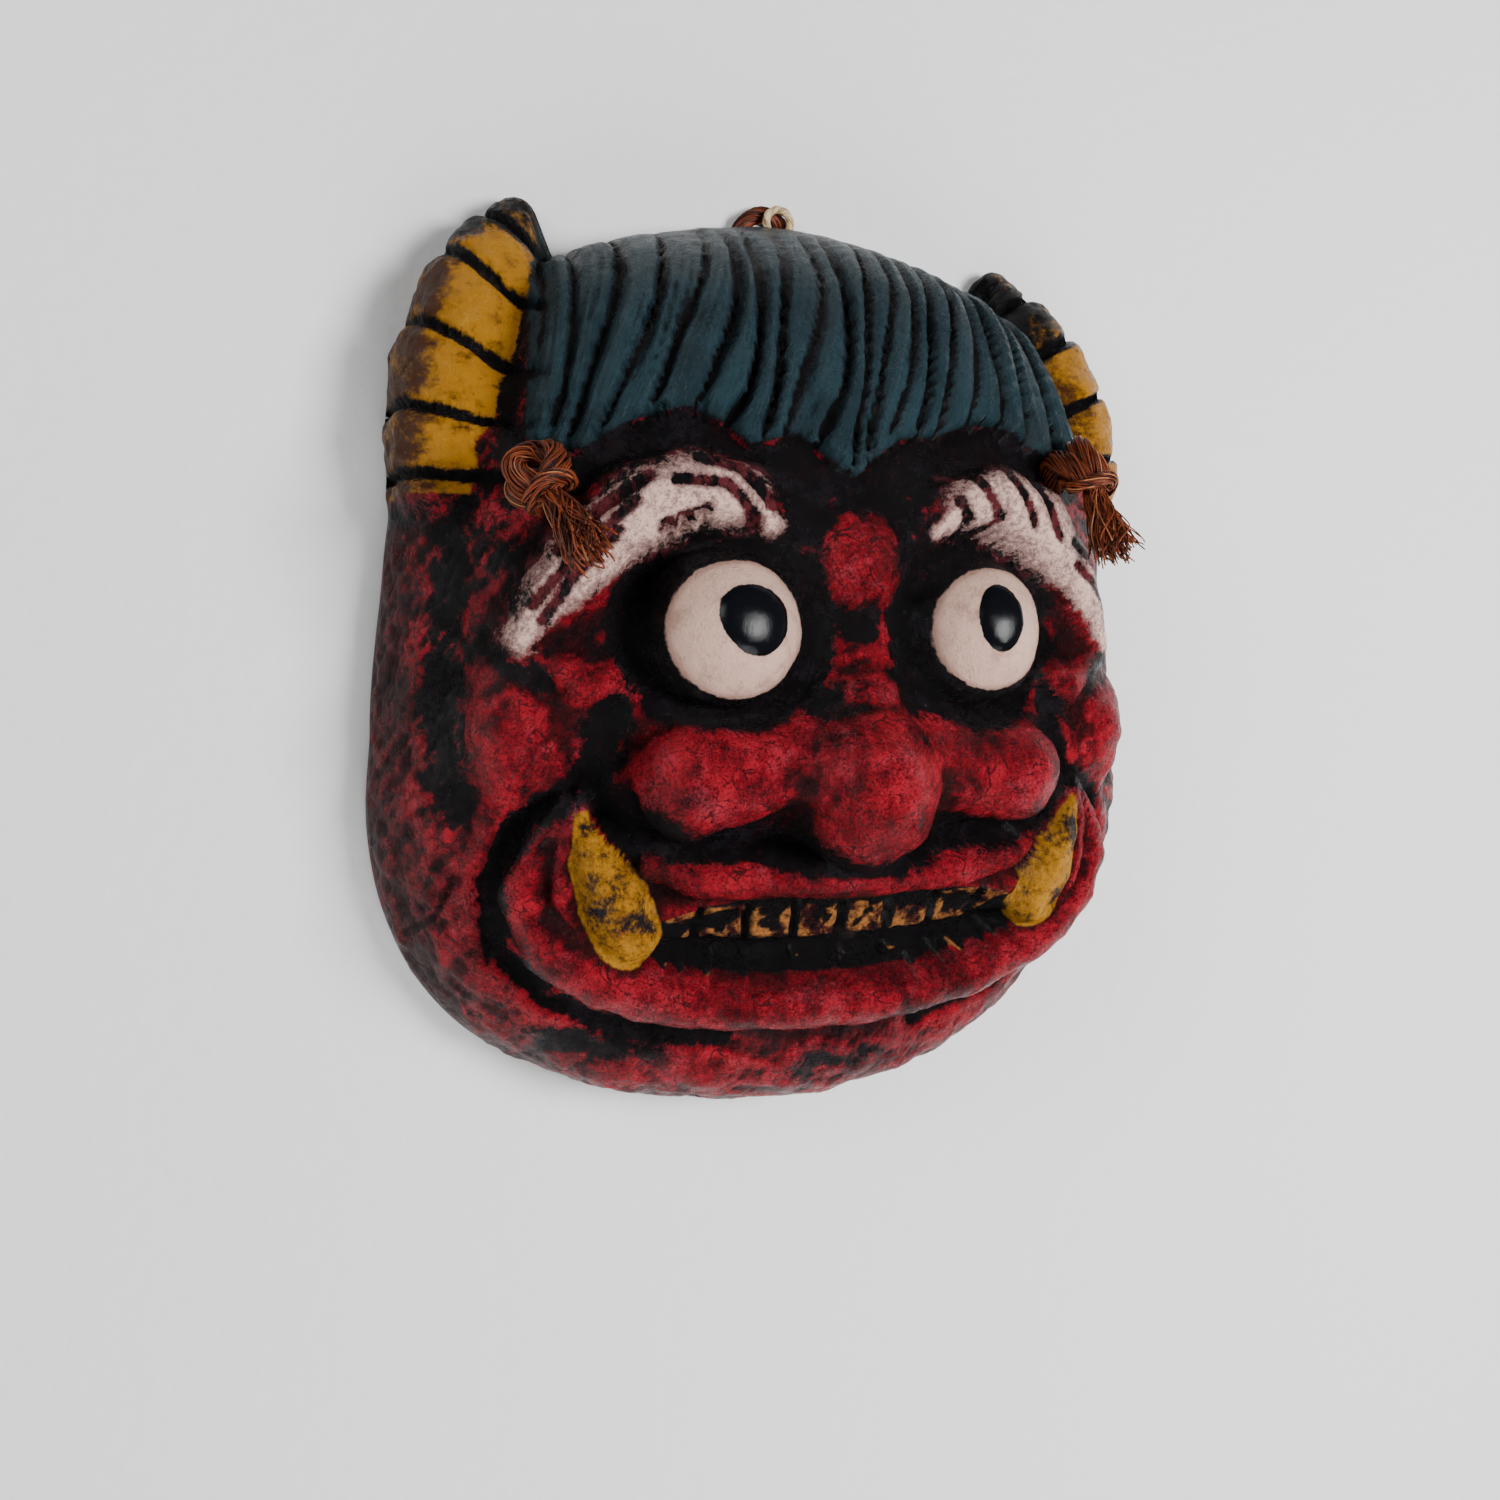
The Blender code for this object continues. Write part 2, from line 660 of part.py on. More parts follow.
def cord_route():
    """The cord as points, from the left knot's middle round the loop to the right one's."""
    return smooth_curve([*cord_side(-1.0)[:0:-1], *cord_side(1.0)], CORD_POINTS)


def make_knot_and_tuft(hidden, hand, name):
    """A knot as a ball with its frayed tuft as a cone out of it, both closed."""
    knot, tip = (Vector(p) for p in cord_end(hand))
    ball_mesh = bmesh.new()
    bmesh.ops.create_uvsphere(ball_mesh, u_segments=14, v_segments=9, radius=KNOT_RADIUS)
    bmesh.ops.translate(ball_mesh, vec=knot, verts=ball_mesh.verts[:])
    cone_mesh = bmesh.new()
    bmesh.ops.create_cone(
        cone_mesh,
        cap_ends=True,
        segments=12,
        radius1=0.7 * TUFT_RADIUS,
        radius2=TUFT_RADIUS,
        depth=(tip - knot).length,
    )
    turn = (tip - knot).to_track_quat("Z", "Y").to_matrix().to_4x4()
    middle = Matrix.Translation((knot + tip) / 2.0)
    bmesh.ops.transform(cone_mesh, matrix=middle @ turn, verts=cone_mesh.verts[:])
    return [
        mesh_object(name + "_knot", ball_mesh, hidden, None),
        mesh_object(name + "_tuft", cone_mesh, hidden, None),
    ]


def make_cord(shown, hidden, material):
    """The fibre cord as one tube, joined to its two knots and their tufts."""
    curve = bpy.data.curves.new("cord_route", "CURVE")
    curve.dimensions = "3D"
    curve.bevel_depth = CORD_DIAMETER / 2.0
    curve.bevel_resolution = 2
    curve.use_fill_caps = True
    route = cord_route()
    spline = curve.splines.new("POLY")
    spline.points.add(len(route) - 1)
    for point, place in zip(spline.points, route):
        point.co = (*place, 1.0)
    guide = bpy.data.objects.new("cord_guide", curve)
    hidden.objects.link(guide)
    guide.hide_render = True
    mesh = bmesh.new()
    mesh.from_mesh(bpy.data.meshes.new_from_object(guide))
    bmesh.ops.remove_doubles(mesh, verts=mesh.verts[:], dist=1e-6)
    bmesh.ops.recalc_face_normals(mesh, faces=mesh.faces[:])
    cord = mesh_object("hanging_cord", mesh, shown, material)
    ends = make_knot_and_tuft(hidden, -1.0, "left") + make_knot_and_tuft(hidden, 1.0, "right")
    combine(cord, ends, "UNION")
    return cord


def make_ring(shown, material):
    """The small pale ring that lies on the cord's loop."""
    mesh = bmesh.new()
    section = bmesh.ops.create_circle(mesh, segments=8, radius=RING_THICKNESS / 2.0)["verts"]
    upright = Matrix.Translation((RING_RADIUS, 0.0, 0.0)) @ Matrix.Rotation(math.pi / 2.0, 4, "X")
    bmesh.ops.transform(mesh, matrix=upright, verts=section)
    bmesh.ops.spin(
        mesh,
        geom=[*section, *{e for v in section for e in v.link_edges}],
        axis=(0.0, 0.0, 1.0),
        cent=(0.0, 0.0, 0.0),
        angle=2.0 * math.pi,
        steps=RING_STEPS,
        use_merge=True,
    )
    bmesh.ops.recalc_face_normals(mesh, faces=mesh.faces[:])
    made = mesh_object("hanging_ring", mesh, shown, material)
    loop_top = ROUTE[0][2] + CORD_DIAMETER / 2.0
    made.location = (RING_PLACE[0], RING_PLACE[1], loop_top + GAP + RING_THICKNESS / 2.0)
    return made


def make_cutters(hidden):
    """The two holes for the cord through the temples, and the slot for its loop in the rim."""
    cutters = []
    for hand in ENDS:
        place, out = temple(hand)
        mesh = bmesh.new()
        bmesh.ops.create_cone(
            mesh,
            cap_ends=True,
            segments=20,
            radius1=(CORD_DIAMETER + HOLE_CLEARANCE) / 2.0,
            radius2=(CORD_DIAMETER + HOLE_CLEARANCE) / 2.0,
            depth=6.0 * WALL,
        )
        hole = mesh_object("left_hole" if hand < 0 else "right_hole", mesh, hidden, None)
        hole.rotation_euler = Vector(out).to_track_quat("Z", "Y").to_euler()
        hole.location = place
        cutters.append(hole)
    mesh = bmesh.new()
    bmesh.ops.create_cube(mesh, size=1.0)
    loop_top = ROUTE[0][2] + CORD_DIAMETER / 2.0
    slot_height = loop_top + GAP + RING_THICKNESS + SLOT_CLEARANCE
    size = Matrix.Diagonal((SLOT_WIDTH, 6.0 * WALL, 2.0 * slot_height, 1.0))
    bmesh.ops.transform(mesh, matrix=size, verts=mesh.verts[:])
    upper = [e for e in mesh.edges if all(v.co.z > 0 for v in e.verts) and e.verts[0].co.x * e.verts[1].co.x > 0]
    upper = [e for e in upper if abs(e.verts[0].co.y - e.verts[1].co.y) > WALL]
    bmesh.ops.bevel(mesh, geom=upper, offset=0.8 * CORD_DIAMETER / 2.0, segments=4, affect="EDGES")
    slot = mesh_object("crown_slot", mesh, hidden, None)
    slot.location = (LOOP_SHIFT, HALF_HEIGHT, 0.0)
    return [*cutters, slot]


def main():
    remove_startup_objects()
    shown = new_collection("oni_mask", True)
    hidden = new_collection("cutters", False)
    red = new_material("red_paint", (0.42, 0.022, 0.03), 0.5)
    fibre = new_material("brown_fibre", (0.22, 0.055, 0.02), 0.8)
    thread = new_material("pale_thread", (0.72, 0.58, 0.40), 0.75)
    shell = make_shell(shown, hidden, red)
    combine(shell, make_cutters(hidden), "DIFFERENCE")
    make_cord(shown, hidden, fibre)
    make_ring(shown, thread)
    for made in [*shown.objects, *hidden.objects]:
        made.location -= Vector(MIDDLE)


main()
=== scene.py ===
"""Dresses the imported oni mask: its painted shell, its knotted fibre cord and the pale ring on its loop.

Metres, +Z out of the face, +Y towards the hair, +X towards the viewer's right.
The shell is sculpted from the same field of rounded forms as the solid, on a finer net,
with the strands, brush strokes, cracks and unevenness that the solid leaves out.
"""

import logging
import math
from dataclasses import dataclass
from enum import Enum

import bmesh
import bpy
import numpy as np
from mathutils import Matrix, Vector
from mathutils.kdtree import KDTree


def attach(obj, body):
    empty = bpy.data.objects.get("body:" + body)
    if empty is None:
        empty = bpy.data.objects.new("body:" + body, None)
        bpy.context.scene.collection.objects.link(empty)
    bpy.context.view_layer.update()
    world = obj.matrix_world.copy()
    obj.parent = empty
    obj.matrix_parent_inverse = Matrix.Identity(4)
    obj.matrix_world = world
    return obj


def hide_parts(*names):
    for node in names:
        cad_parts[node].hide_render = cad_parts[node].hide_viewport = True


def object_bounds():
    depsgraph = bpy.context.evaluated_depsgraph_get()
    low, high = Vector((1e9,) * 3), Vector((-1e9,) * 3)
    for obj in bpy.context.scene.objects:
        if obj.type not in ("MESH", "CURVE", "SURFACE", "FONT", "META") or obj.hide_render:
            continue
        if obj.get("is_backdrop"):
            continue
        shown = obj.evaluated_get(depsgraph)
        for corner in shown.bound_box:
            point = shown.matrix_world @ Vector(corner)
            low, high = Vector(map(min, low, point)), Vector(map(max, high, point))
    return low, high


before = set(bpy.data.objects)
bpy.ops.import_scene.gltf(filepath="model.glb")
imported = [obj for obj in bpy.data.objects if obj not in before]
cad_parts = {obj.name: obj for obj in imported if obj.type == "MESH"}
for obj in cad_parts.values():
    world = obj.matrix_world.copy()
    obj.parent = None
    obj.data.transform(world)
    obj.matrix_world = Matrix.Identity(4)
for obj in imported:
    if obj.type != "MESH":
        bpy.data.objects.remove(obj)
CAD_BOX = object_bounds()

LOG = logging.getLogger("oni_mask")


class Skin(Enum):
    """The skins that the face's field is asked for."""

    FRONT = "front"
    RIM = "rim"
    BACK = "back"


@dataclass(frozen=True)
class MaskSizes:
    """The main sizes of the shell, as in the part."""

    half_width: float = 0.118
    half_height: float = 0.127
    dome_height: float = 0.068
    wall: float = 0.0045
    dome_power: float = 2.1
    right_narrower: float = 0.08
    right_crown_lower: float = 0.19
    right_jaw_higher: float = 0.41
    rays_from: tuple = (0.0, 0.0, -0.06)
    middle: tuple = (-0.0045, 0.0, 0.0)


@dataclass(frozen=True)
class CordSizes:
    """The sizes of the cord, its knots, its tufts and the ring, as in the part."""

    diameter: float = 0.005
    hole_clearance: float = 0.0015
    slot_width: float = 0.026
    slot_clearance: float = 0.0014
    gap: float = 0.0004
    knot_radius: float = 0.008
    tuft_length: float = 0.026
    ring_radius: float = 0.0037
    ring_thickness: float = 0.0022
    ring_place: tuple = (0.0008, 0.1284)
    loop_shift: float = -0.0025
    route: tuple = (
        (0.0000, 0.1312, 0.0029),
        (0.0048, 0.1294, 0.0029),
        (0.0076, 0.125, 0.0029),
        (0.009, 0.118, 0.0029),
        (0.0135, 0.107, 0.0029),
        (0.023, 0.092, 0.0029),
        (0.035, 0.076, 0.0029),
        (0.046, 0.063, 0.0038),
        (0.055, 0.055, 0.009),
        (0.062, 0.05, 0.019),
    )
    left_end: tuple = ((0.0765, 0.043), (-0.0095, -0.0215, 0.02))
    right_end: tuple = ((0.0665, 0.05), (0.0035, -0.0238, 0.0145))


@dataclass(frozen=True)
class Carving:
    """The forms and lines that the face is made of, right side, as in the part."""

    outline: tuple = (
        (0.000, -0.124), (0.035, -0.1215), (0.066, -0.115), (0.088, -0.1055), (0.102, -0.092),
        (0.112, -0.074), (0.118, -0.048), (0.117, -0.02), (0.114, 0.015), (0.11, 0.045),
        (0.101, 0.073), (0.086, 0.095), (0.063, 0.1125), (0.035, 0.1225), (0.000, 0.127),
    )
    fringe: tuple = (
        (-0.086, 0.056), (-0.07, 0.053), (-0.057, 0.061), (-0.043, 0.065), (-0.034, 0.061),
        (-0.028, 0.055), (-0.014, 0.059), (-0.007, 0.052), (-0.001, 0.047), (0.006, 0.053),
        (0.015, 0.059), (0.026, 0.06), (0.038, 0.065), (0.052, 0.065), (0.066, 0.057), (0.086, 0.059),
    )
    partings: tuple = (
        (-0.086, -0.07), (-0.079, -0.062), (-0.074, -0.05), (-0.066, -0.037), (-0.054, -0.028),
        (-0.041, -0.022), (-0.033, -0.015), (-0.025, -0.008), (-0.018, 0.000), (-0.01, 0.008),
        (-0.003, 0.016), (0.003, 0.023), (0.01, 0.03), (0.018, 0.037), (0.027, 0.043),
        (0.037, 0.048), (0.048, 0.053), (0.059, 0.059), (0.07, 0.065), (0.086, 0.072),
    )
    brow: tuple = (
        (0.021, 0.033, -0.002, 0.0045), (0.03, 0.041, -0.0015, 0.009),
        (0.043, 0.043, -0.001, 0.0118), (0.056, 0.0385, -0.001, 0.0118),
        (0.068, 0.028, -0.001, 0.0108), (0.078, 0.014, -0.001, 0.0092),
        (0.083, 0.004, -0.001, 0.0068),
    )
    wing: tuple = (
        (0.016, -0.024, -0.002, 0.012), (0.032, -0.028, -0.001, 0.0125), (0.046, -0.03, 0.001, 0.0145),
    )
    bridge: tuple = (
        (0.0, -0.003, -0.006, 0.007), (0.0, -0.014, -0.001, 0.0115), (0.0, -0.026, 0.003, 0.0165),
    )
    upper_lip: tuple = (
        (0.000, -0.0566, 0.002, 0.005), (0.028, -0.056, 0.002, 0.005),
        (0.045, -0.055, 0.001, 0.0048), (0.054, -0.052, 0.000, 0.0038),
    )
    lower_lip: tuple = (
        (0.000, -0.0912, 0.004, 0.007), (0.022, -0.0908, 0.004, 0.007), (0.045, -0.0876, 0.004, 0.0074),
        (0.064, -0.0815, 0.004, 0.008), (0.079, -0.071, 0.003, 0.0072), (0.085, -0.059, 0.002, 0.0055),
        (0.081, -0.046, 0.001, 0.004), (0.074, -0.035, 0.000, 0.0028),
    )
    inner_lip: tuple = (
        (0.071, -0.034, 0.002, 0.0025), (0.076, -0.048, 0.002, 0.0032),
        (0.075, -0.062, 0.003, 0.0038), (0.066, -0.076, 0.004, 0.004),
    )
    tusk: tuple = (
        (0.0715, -0.0385, 0.002, 0.0018), (0.068, -0.05, 0.002, 0.006),
        (0.063, -0.061, 0.002, 0.0085), (0.0595, -0.069, 0.001, 0.0085),
    )
    smile_fold: tuple = (
        (0.078, 0.0, -0.001, 0.005), (0.071, -0.006, 0.0, 0.0055), (0.063, -0.004, -0.001, 0.0035),
    )
    horn: tuple = (
        (0.0765, 0.122, 0.0045, 0.006), (0.083, 0.112, 0.0095, 0.01), (0.0895, 0.098, 0.014, 0.0135),
        (0.0945, 0.08, 0.0175, 0.0155), (0.0965, 0.062, 0.019, 0.0155), (0.0975, 0.048, 0.0185, 0.014),
    )
    hollow_from: int = 2
    horn_rings: tuple = (
        ((0.086, 0.121), (0.07, 0.11)), ((0.098, 0.109), (0.075, 0.092)), ((0.108, 0.09), (0.078, 0.073)),
        ((0.112, 0.067), (0.08, 0.059)), ((0.113, 0.049), (0.084, 0.047)),
    )
    eye: tuple = ((0.0355, 0.008, 0.058), (0.0208, 0.0208, 0.0208))
    ball: tuple = ((0.0005, 0.025, 0.061), (0.013, 0.0142, 0.013))
    nose_tip: tuple = ((0.001, -0.033, 0.066), (0.019, 0.0215, 0.022))
    cheek: tuple = ((0.0855, -0.02, 0.032), (0.0175, 0.019, 0.023))
    chin: tuple = ((0.0000, -0.1065, 0.018), (0.07, 0.017, 0.02))
    socket: tuple = (0.0235, 0.0048, 0.0046)
    mouth_fold: tuple = (
        (0.062, -0.012), (0.07, -0.033), (0.085, -0.04), (0.092, -0.056),
        (0.089, -0.074), (0.076, -0.088), (0.056, -0.0975), (0.03, -0.101),
    )
    nostril_fold: tuple = ((0.01, -0.052), (0.03, -0.047), (0.048, -0.047), (0.062, -0.038))
    cheek_fold: tuple = ((0.098, 0.04), (0.101, 0.01), (0.103, -0.01), (0.1, -0.036))
    hair_fold: tuple = ((0.0, 0.06), (0.05, 0.06))
    mouth_rise: float = 0.006
    tooth_width: float = 0.0136
    teeth_each_side: int = 4
    upper_teeth: tuple = (-0.0748, -0.062)
    lower_teeth: tuple = (-0.085, -0.0768)
    tooth_height: float = 0.0034


@dataclass(frozen=True)
class Strokes:
    """Lines and patches that only the dressed shell has, in metres over the face."""

    brow_paint: tuple = (
        (-0.024, 0.034, 0.004), (-0.032, 0.041, 0.01), (-0.044, 0.042, 0.012),
        (-0.056, 0.0375, 0.0125), (-0.068, 0.03, 0.0108), (-0.079, 0.019, 0.0085),
        (-0.086, 0.007, 0.0055),
    )
    brow_wrinkles: tuple = (
        ((-0.025, 0.039), (-0.033, 0.048), (-0.044, 0.05)),
        ((-0.027, 0.034), (-0.037, 0.044), (-0.05, 0.0445)),
        ((-0.056, 0.0455), (-0.068, 0.037), (-0.077, 0.027)),
        ((-0.06, 0.039), (-0.072, 0.028), (-0.083, 0.014)),
        ((-0.064, 0.032), (-0.074, 0.021), (-0.081, 0.01)),
        ((-0.042, 0.0375), (-0.053, 0.033)),
    )
    right_brow_wrinkles: tuple = (
        ((0.033, 0.05), (0.04, 0.038)),
        ((0.043, 0.052), (0.052, 0.037)),
        ((0.052, 0.051), (0.062, 0.034)),
        ((0.068, 0.033), (0.08, 0.026)),
        ((0.069, 0.027), (0.082, 0.019)),
        ((0.028, 0.042), (0.035, 0.032)),
    )
    cracks: tuple = (
        ((-0.101, -0.056), (-0.104, -0.066), (-0.11, -0.072)),
        ((-0.093, -0.066), (-0.0915, -0.078)),
        ((-0.001, -0.088), (-0.0005, -0.096)),
        ((-0.08, -0.044), (-0.086, -0.052)),
    )
    # Black lines and patches, each a depth, a width and a line: partly the black undercoat, partly painted
    # shade.
    black_both_sides: tuple = (
        (1.0, 0.0075, ((0.012, 0.004), (0.016, -0.01))),
        (1.1, 0.0035, ((0.0, -0.0535), (0.01, -0.052))),
        (1.1, 0.0052, ((0.06, -0.006), (0.068, -0.022), (0.07, -0.034))),
        (1.0, 0.0042, ((0.08, -0.004), (0.092, 0.006))),
        (0.85, 0.0045, ((0.086, 0.041), (0.112, 0.04))),
    )
    black_one_side: tuple = (
        (0.9, 0.006, ((-0.092, 0.046), (-0.09, 0.026))),
        (0.9, 0.006, ((-0.078, -0.098), (-0.05, -0.104))),
        (0.8, 0.0055, ((-0.086, -0.114), (-0.062, -0.118))),
        (0.75, 0.005, ((-0.012, -0.114), (0.018, -0.11))),
        (0.9, 0.0065, ((0.104, -0.06), (0.104, -0.036))),
        (0.8, 0.005, ((-0.02, -0.002), (-0.004, -0.008))),
        (1.1, 0.0048, ((-0.004, 0.0085), (0.002, 0.0085))),
    )
    bumps: tuple = (
        (-0.058, -0.007, 0.0042, 0.0011), (-0.065, -0.022, 0.0034, 0.0009),
        (-0.06, -0.093, 0.003, 0.0008), (-0.069, -0.09, 0.0032, 0.0009),
        (-0.076, -0.086, 0.003, 0.0008), (-0.05, -0.097, 0.003, 0.0007),
        (-0.049, -0.053, 0.004, 0.0012), (0.056, -0.05, 0.0036, 0.0009),
    )


def smooth_min(a: np.ndarray, b: np.ndarray, blend: float) -> np.ndarray:
    """The lower of two fields, with the crease between them rounded over about blend."""
    share = np.clip(0.5 + 0.5 * (b - a) / blend, 0.0, 1.0)
    return b + (a - b) * share - blend * share * (1.0 - share)


def smooth_step(low: float, high: float, value: np.ndarray) -> np.ndarray:
    """0 below low, 1 above high, and smooth between."""
    share = np.clip((value - low) / (high - low), 0.0, 1.0)
    return share * share * (3.0 - 2.0 * share)


def groove(distance: np.ndarray, half_width: float) -> np.ndarray:
    """1 on the line of a groove, falling smoothly to 0 beyond its half width."""
    return np.exp(-((distance / half_width) ** 2))


def line_distance(x: np.ndarray, y: np.ndarray, points: tuple) -> np.ndarray:
    """The distance over the face to a line through the points.

    Args:
        x: Places across the face.
        y: Places up the face.
        points: The line's corners.

    Returns:
        The distance of each place.
    """
    nearest = np.full(len(x), np.inf)
    for (x0, y0), (x1, y1) in zip(points[:-1], points[1:]):
        dx, dy = x1 - x0, y1 - y0
        share = np.clip(((x - x0) * dx + (y - y0) * dy) / (dx * dx + dy * dy), 0.0, 1.0)
        nearest = np.minimum(nearest, np.hypot(x - x0 - share * dx, y - y0 - share * dy))
    return nearest


def uneven(p: np.ndarray, wave: float, seed: int) -> np.ndarray:
    """A smooth, seeded unevenness between about -1 and 1.

    Args:
        p: The places, one row each.
        wave: The length of its waves, in metres.
        seed: Which unevenness of that wave.

    Returns:
        Its height at each place.
    """
    dice = np.random.default_rng(seed)
    total = np.zeros(len(p))
    for _ in range(7):
        way = dice.normal(size=3)
        way *= dice.uniform(0.7, 1.35) * 2.0 * np.pi / wave / np.linalg.norm(way)
        bend = dice.normal(size=3)
        bend *= np.pi / wave / np.linalg.norm(bend)
        inner = np.sin(p @ bend + dice.uniform(0.0, 6.28))
        total += np.sin(p @ way + 1.6 * inner + dice.uniform(0.0, 6.28))
    return total / 3.2


class FaceField:
    """The face as a field of rounded forms and grooves: negative inside, zero on the surface."""

    def __init__(self, sizes: MaskSizes, carving: Carving) -> None:
        """Keeps the sizes and the carving."""
        self.sizes = sizes
        self.carving = carving

    def outline_radius(self, angle: np.ndarray) -> np.ndarray:
        """How far the head's outline is from the middle, by the angle from +X."""
        half = np.array(self.carving.outline)
        turned = np.arctan2(half[:, 1], half[:, 0])
        reach = np.hypot(half[:, 0], half[:, 1])
        angle = np.where(np.cos(angle) < 0, np.pi - angle, angle)
        angle = (angle + np.pi) % (2.0 * np.pi) - np.pi
        place = np.interp(angle, turned, np.arange(len(half)))
        reach = np.concatenate([[reach[1]], reach, [reach[-2]]])
        first = np.clip(place.astype(int), 0, len(half) - 2)
        t = place - first
        a, b, c, d = (reach[first + k] for k in range(4))
        return b + 0.5 * t * (c - a + t * (2 * a - 5 * b + 4 * c - d + t * (3 * (b - c) + d - a)))

    def dome_height(self, x: np.ndarray, y: np.ndarray) -> np.ndarray:
        """The height of the plain dome over the back plane."""
        power = self.sizes.dome_power
        across = np.hypot(x, y) / self.outline_radius(np.arctan2(y, x))
        return self.sizes.dome_height * np.clip(1.0 - across**power, 0.0, 1.0) ** (1.0 / power)

    def dome(self, p: np.ndarray) -> np.ndarray:
        """The field of the plain dome."""
        power, height = self.sizes.dome_power, self.sizes.dome_height
        reach = self.outline_radius(np.arctan2(p[:, 1], p[:, 0]))
        across = np.hypot(p[:, 0], p[:, 1]) / reach
        up = np.abs(p[:, 2]) / height
        size = np.maximum((across**power + up**power) ** (1.0 / power), 1e-6)
        slope = np.hypot((across / size) ** (power - 1) / reach, (up / size) ** (power - 1) / height)
        return (size - 1.0) / slope

    @staticmethod
    def ball(p: np.ndarray, centre: tuple, half: tuple) -> np.ndarray:
        """The field of an ellipsoid."""
        away = (p - np.array(centre)) / np.array(half)
        size = np.maximum(np.linalg.norm(away, axis=1), 1e-6)
        return size * (size - 1.0) / np.maximum(np.linalg.norm(away / np.array(half), axis=1), 1e-6)

    @staticmethod
    def chain(p: np.ndarray, stations: np.ndarray, skirted: bool = False) -> np.ndarray:
        """The field of a row of round cones.

        Args:
            p: The places.
            stations: Rows of x, y, z and radius.
            skirted: Whether the widest section is kept down to the back plane.

        Returns:
            The distance of each place.
        """
        stations = np.array(stations)
        nearest = np.full(len(p), np.inf)
        for first, second in zip(stations[:-1], stations[1:]):
            along = second[:3] - first[:3]
            share = np.clip((p - first[:3]) @ along / (along @ along), 0.0, 1.0)
            away = p - first[:3] - share[:, None] * along
            if skirted:
                away[:, 2] = np.maximum(away[:, 2], 0.0)
            away = np.linalg.norm(away, axis=1)
            nearest = np.minimum(nearest, away - first[3] - share * (second[3] - first[3]))
        return nearest

    def on_dome(self, stations: tuple) -> np.ndarray:
        """Stations with each lift counted from the dome's surface."""
        rows = np.array(stations, float)
        rows[:, 2] += self.dome_height(rows[:, 0], rows[:, 1])
        return rows

    def fringe_height(self, x: np.ndarray) -> np.ndarray:
        """How high the fringe's lower edge is."""
        edge = np.array(self.carving.fringe)
        return np.interp(x, edge[:, 0], edge[:, 1])

    def hair_inside(self, x: np.ndarray, y: np.ndarray) -> np.ndarray:
        """1 in the hair and 0 outside it."""
        inside = smooth_step(-0.0006, 0.0016, y - self.fringe_height(x))
        return inside * (1.0 - smooth_step(0.079, 0.085, np.abs(x) + 0.12 * np.maximum(y - 0.06, 0.0)))

    def locks(self, x: np.ndarray, y: np.ndarray) -> tuple[np.ndarray, np.ndarray, np.ndarray, np.ndarray]:
        """Where each place is among the locks.

        Args:
            x: Places across the face.
            y: Places up the face.

        Returns:
            How far down each place is from the crown, its distance to the nearest parting,
            its share of the way across its lock, and the lock's number.
        """
        crown = self.sizes.half_height
        down = np.clip((crown - y) / (crown - self.fringe_height(x)), 0.0, 1.0)
        rows = np.array(self.carving.partings)
        parting = rows[:, 1] + (rows[:, 0] - rows[:, 1]) * down[:, None] ** 1.5
        wander = 0.0009 * np.sin(95.0 * y[:, None] + 2.1 * np.arange(len(rows)))
        parting = parting + wander
        nearest = np.abs(x[:, None] - parting).min(axis=1)
        number = np.clip((parting < x[:, None]).sum(axis=1), 1, len(rows) - 1)
        left = np.take_along_axis(parting, (number - 1)[:, None], axis=1)[:, 0]
        right = np.take_along_axis(parting, number[:, None], axis=1)[:, 0]
        share = np.clip((x - left) / np.maximum(right - left, 1e-4), 0.0, 1.0)
        return down, nearest, share, number

    def hair(self, x: np.ndarray, y: np.ndarray) -> np.ndarray:
        """How far the hair stands over the dome, with its partings, rounded locks and strands."""
        down, nearest, share, number = self.locks(x, y)
        cap = 0.0052 * (1.0 - smooth_step(0.55, 0.98, 1.0 - down))
        rounded = (0.0007 + 0.0005 * np.sin(2.7 * number)) * np.sin(np.pi * share)
        rounded = rounded * smooth_step(0.0, 0.3, down)
        count = 2.0 + np.mod(number, 3)
        sway = 0.35 * np.sin(60.0 * y + 1.9 * number)
        strands = 0.00038 * np.cos(2.0 * np.pi * (count * share + 0.23 * number + sway))
        strands = strands * smooth_step(0.05, 0.4, down)
        depth = 0.46 + 0.26 * np.sin(1.7 * number + 40.0 * y)
        top = cap * (1.0 - depth * groove(nearest, 0.0015)) + rounded + strands - 0.0004
        return self.hair_inside(x, y) * top

    def teeth(self, x: np.ndarray, y: np.ndarray) -> np.ndarray:
        """How far the two rows of teeth stand over the floor of the mouth."""
        cut = self.carving
        rise = np.zeros(len(x))
        across = x / cut.tooth_width
        side = cut.tooth_width * np.abs(across - np.round(across))
        within = smooth_step(0.0, 0.0016, cut.teeth_each_side * cut.tooth_width - np.abs(x))
        bend = 0.1 * np.abs(x)
        for low, high in (cut.upper_teeth, cut.lower_teeth):
            edge = np.minimum(np.minimum(y - low - bend * 0.5, high + bend * 0.3 - y), side)
            rise = np.maximum(rise, cut.tooth_height * smooth_step(0.0, 0.0018, edge) * within)
        return rise

    def lean(self, p: np.ndarray) -> tuple[np.ndarray, np.ndarray]:
        """Brings places on the drawn-in right side to where they are on an even face.

        Args:
            p: The places.

        Returns:
            The places on the even face, and how much it is drawn in at each.
        """
        sizes = self.sizes
        side = np.maximum(p[:, 0], 0.0) / sizes.half_width
        up = p[:, 1] / sizes.half_height
        share = np.where(up > 0.0, sizes.right_crown_lower, sizes.right_jaw_higher) * np.abs(up) * side**2
        x = p[:, 0] * (1.0 + sizes.right_narrower * side)
        return np.stack([x, p[:, 1] * (1.0 + share), p[:, 2]], axis=1), 1.0 + share

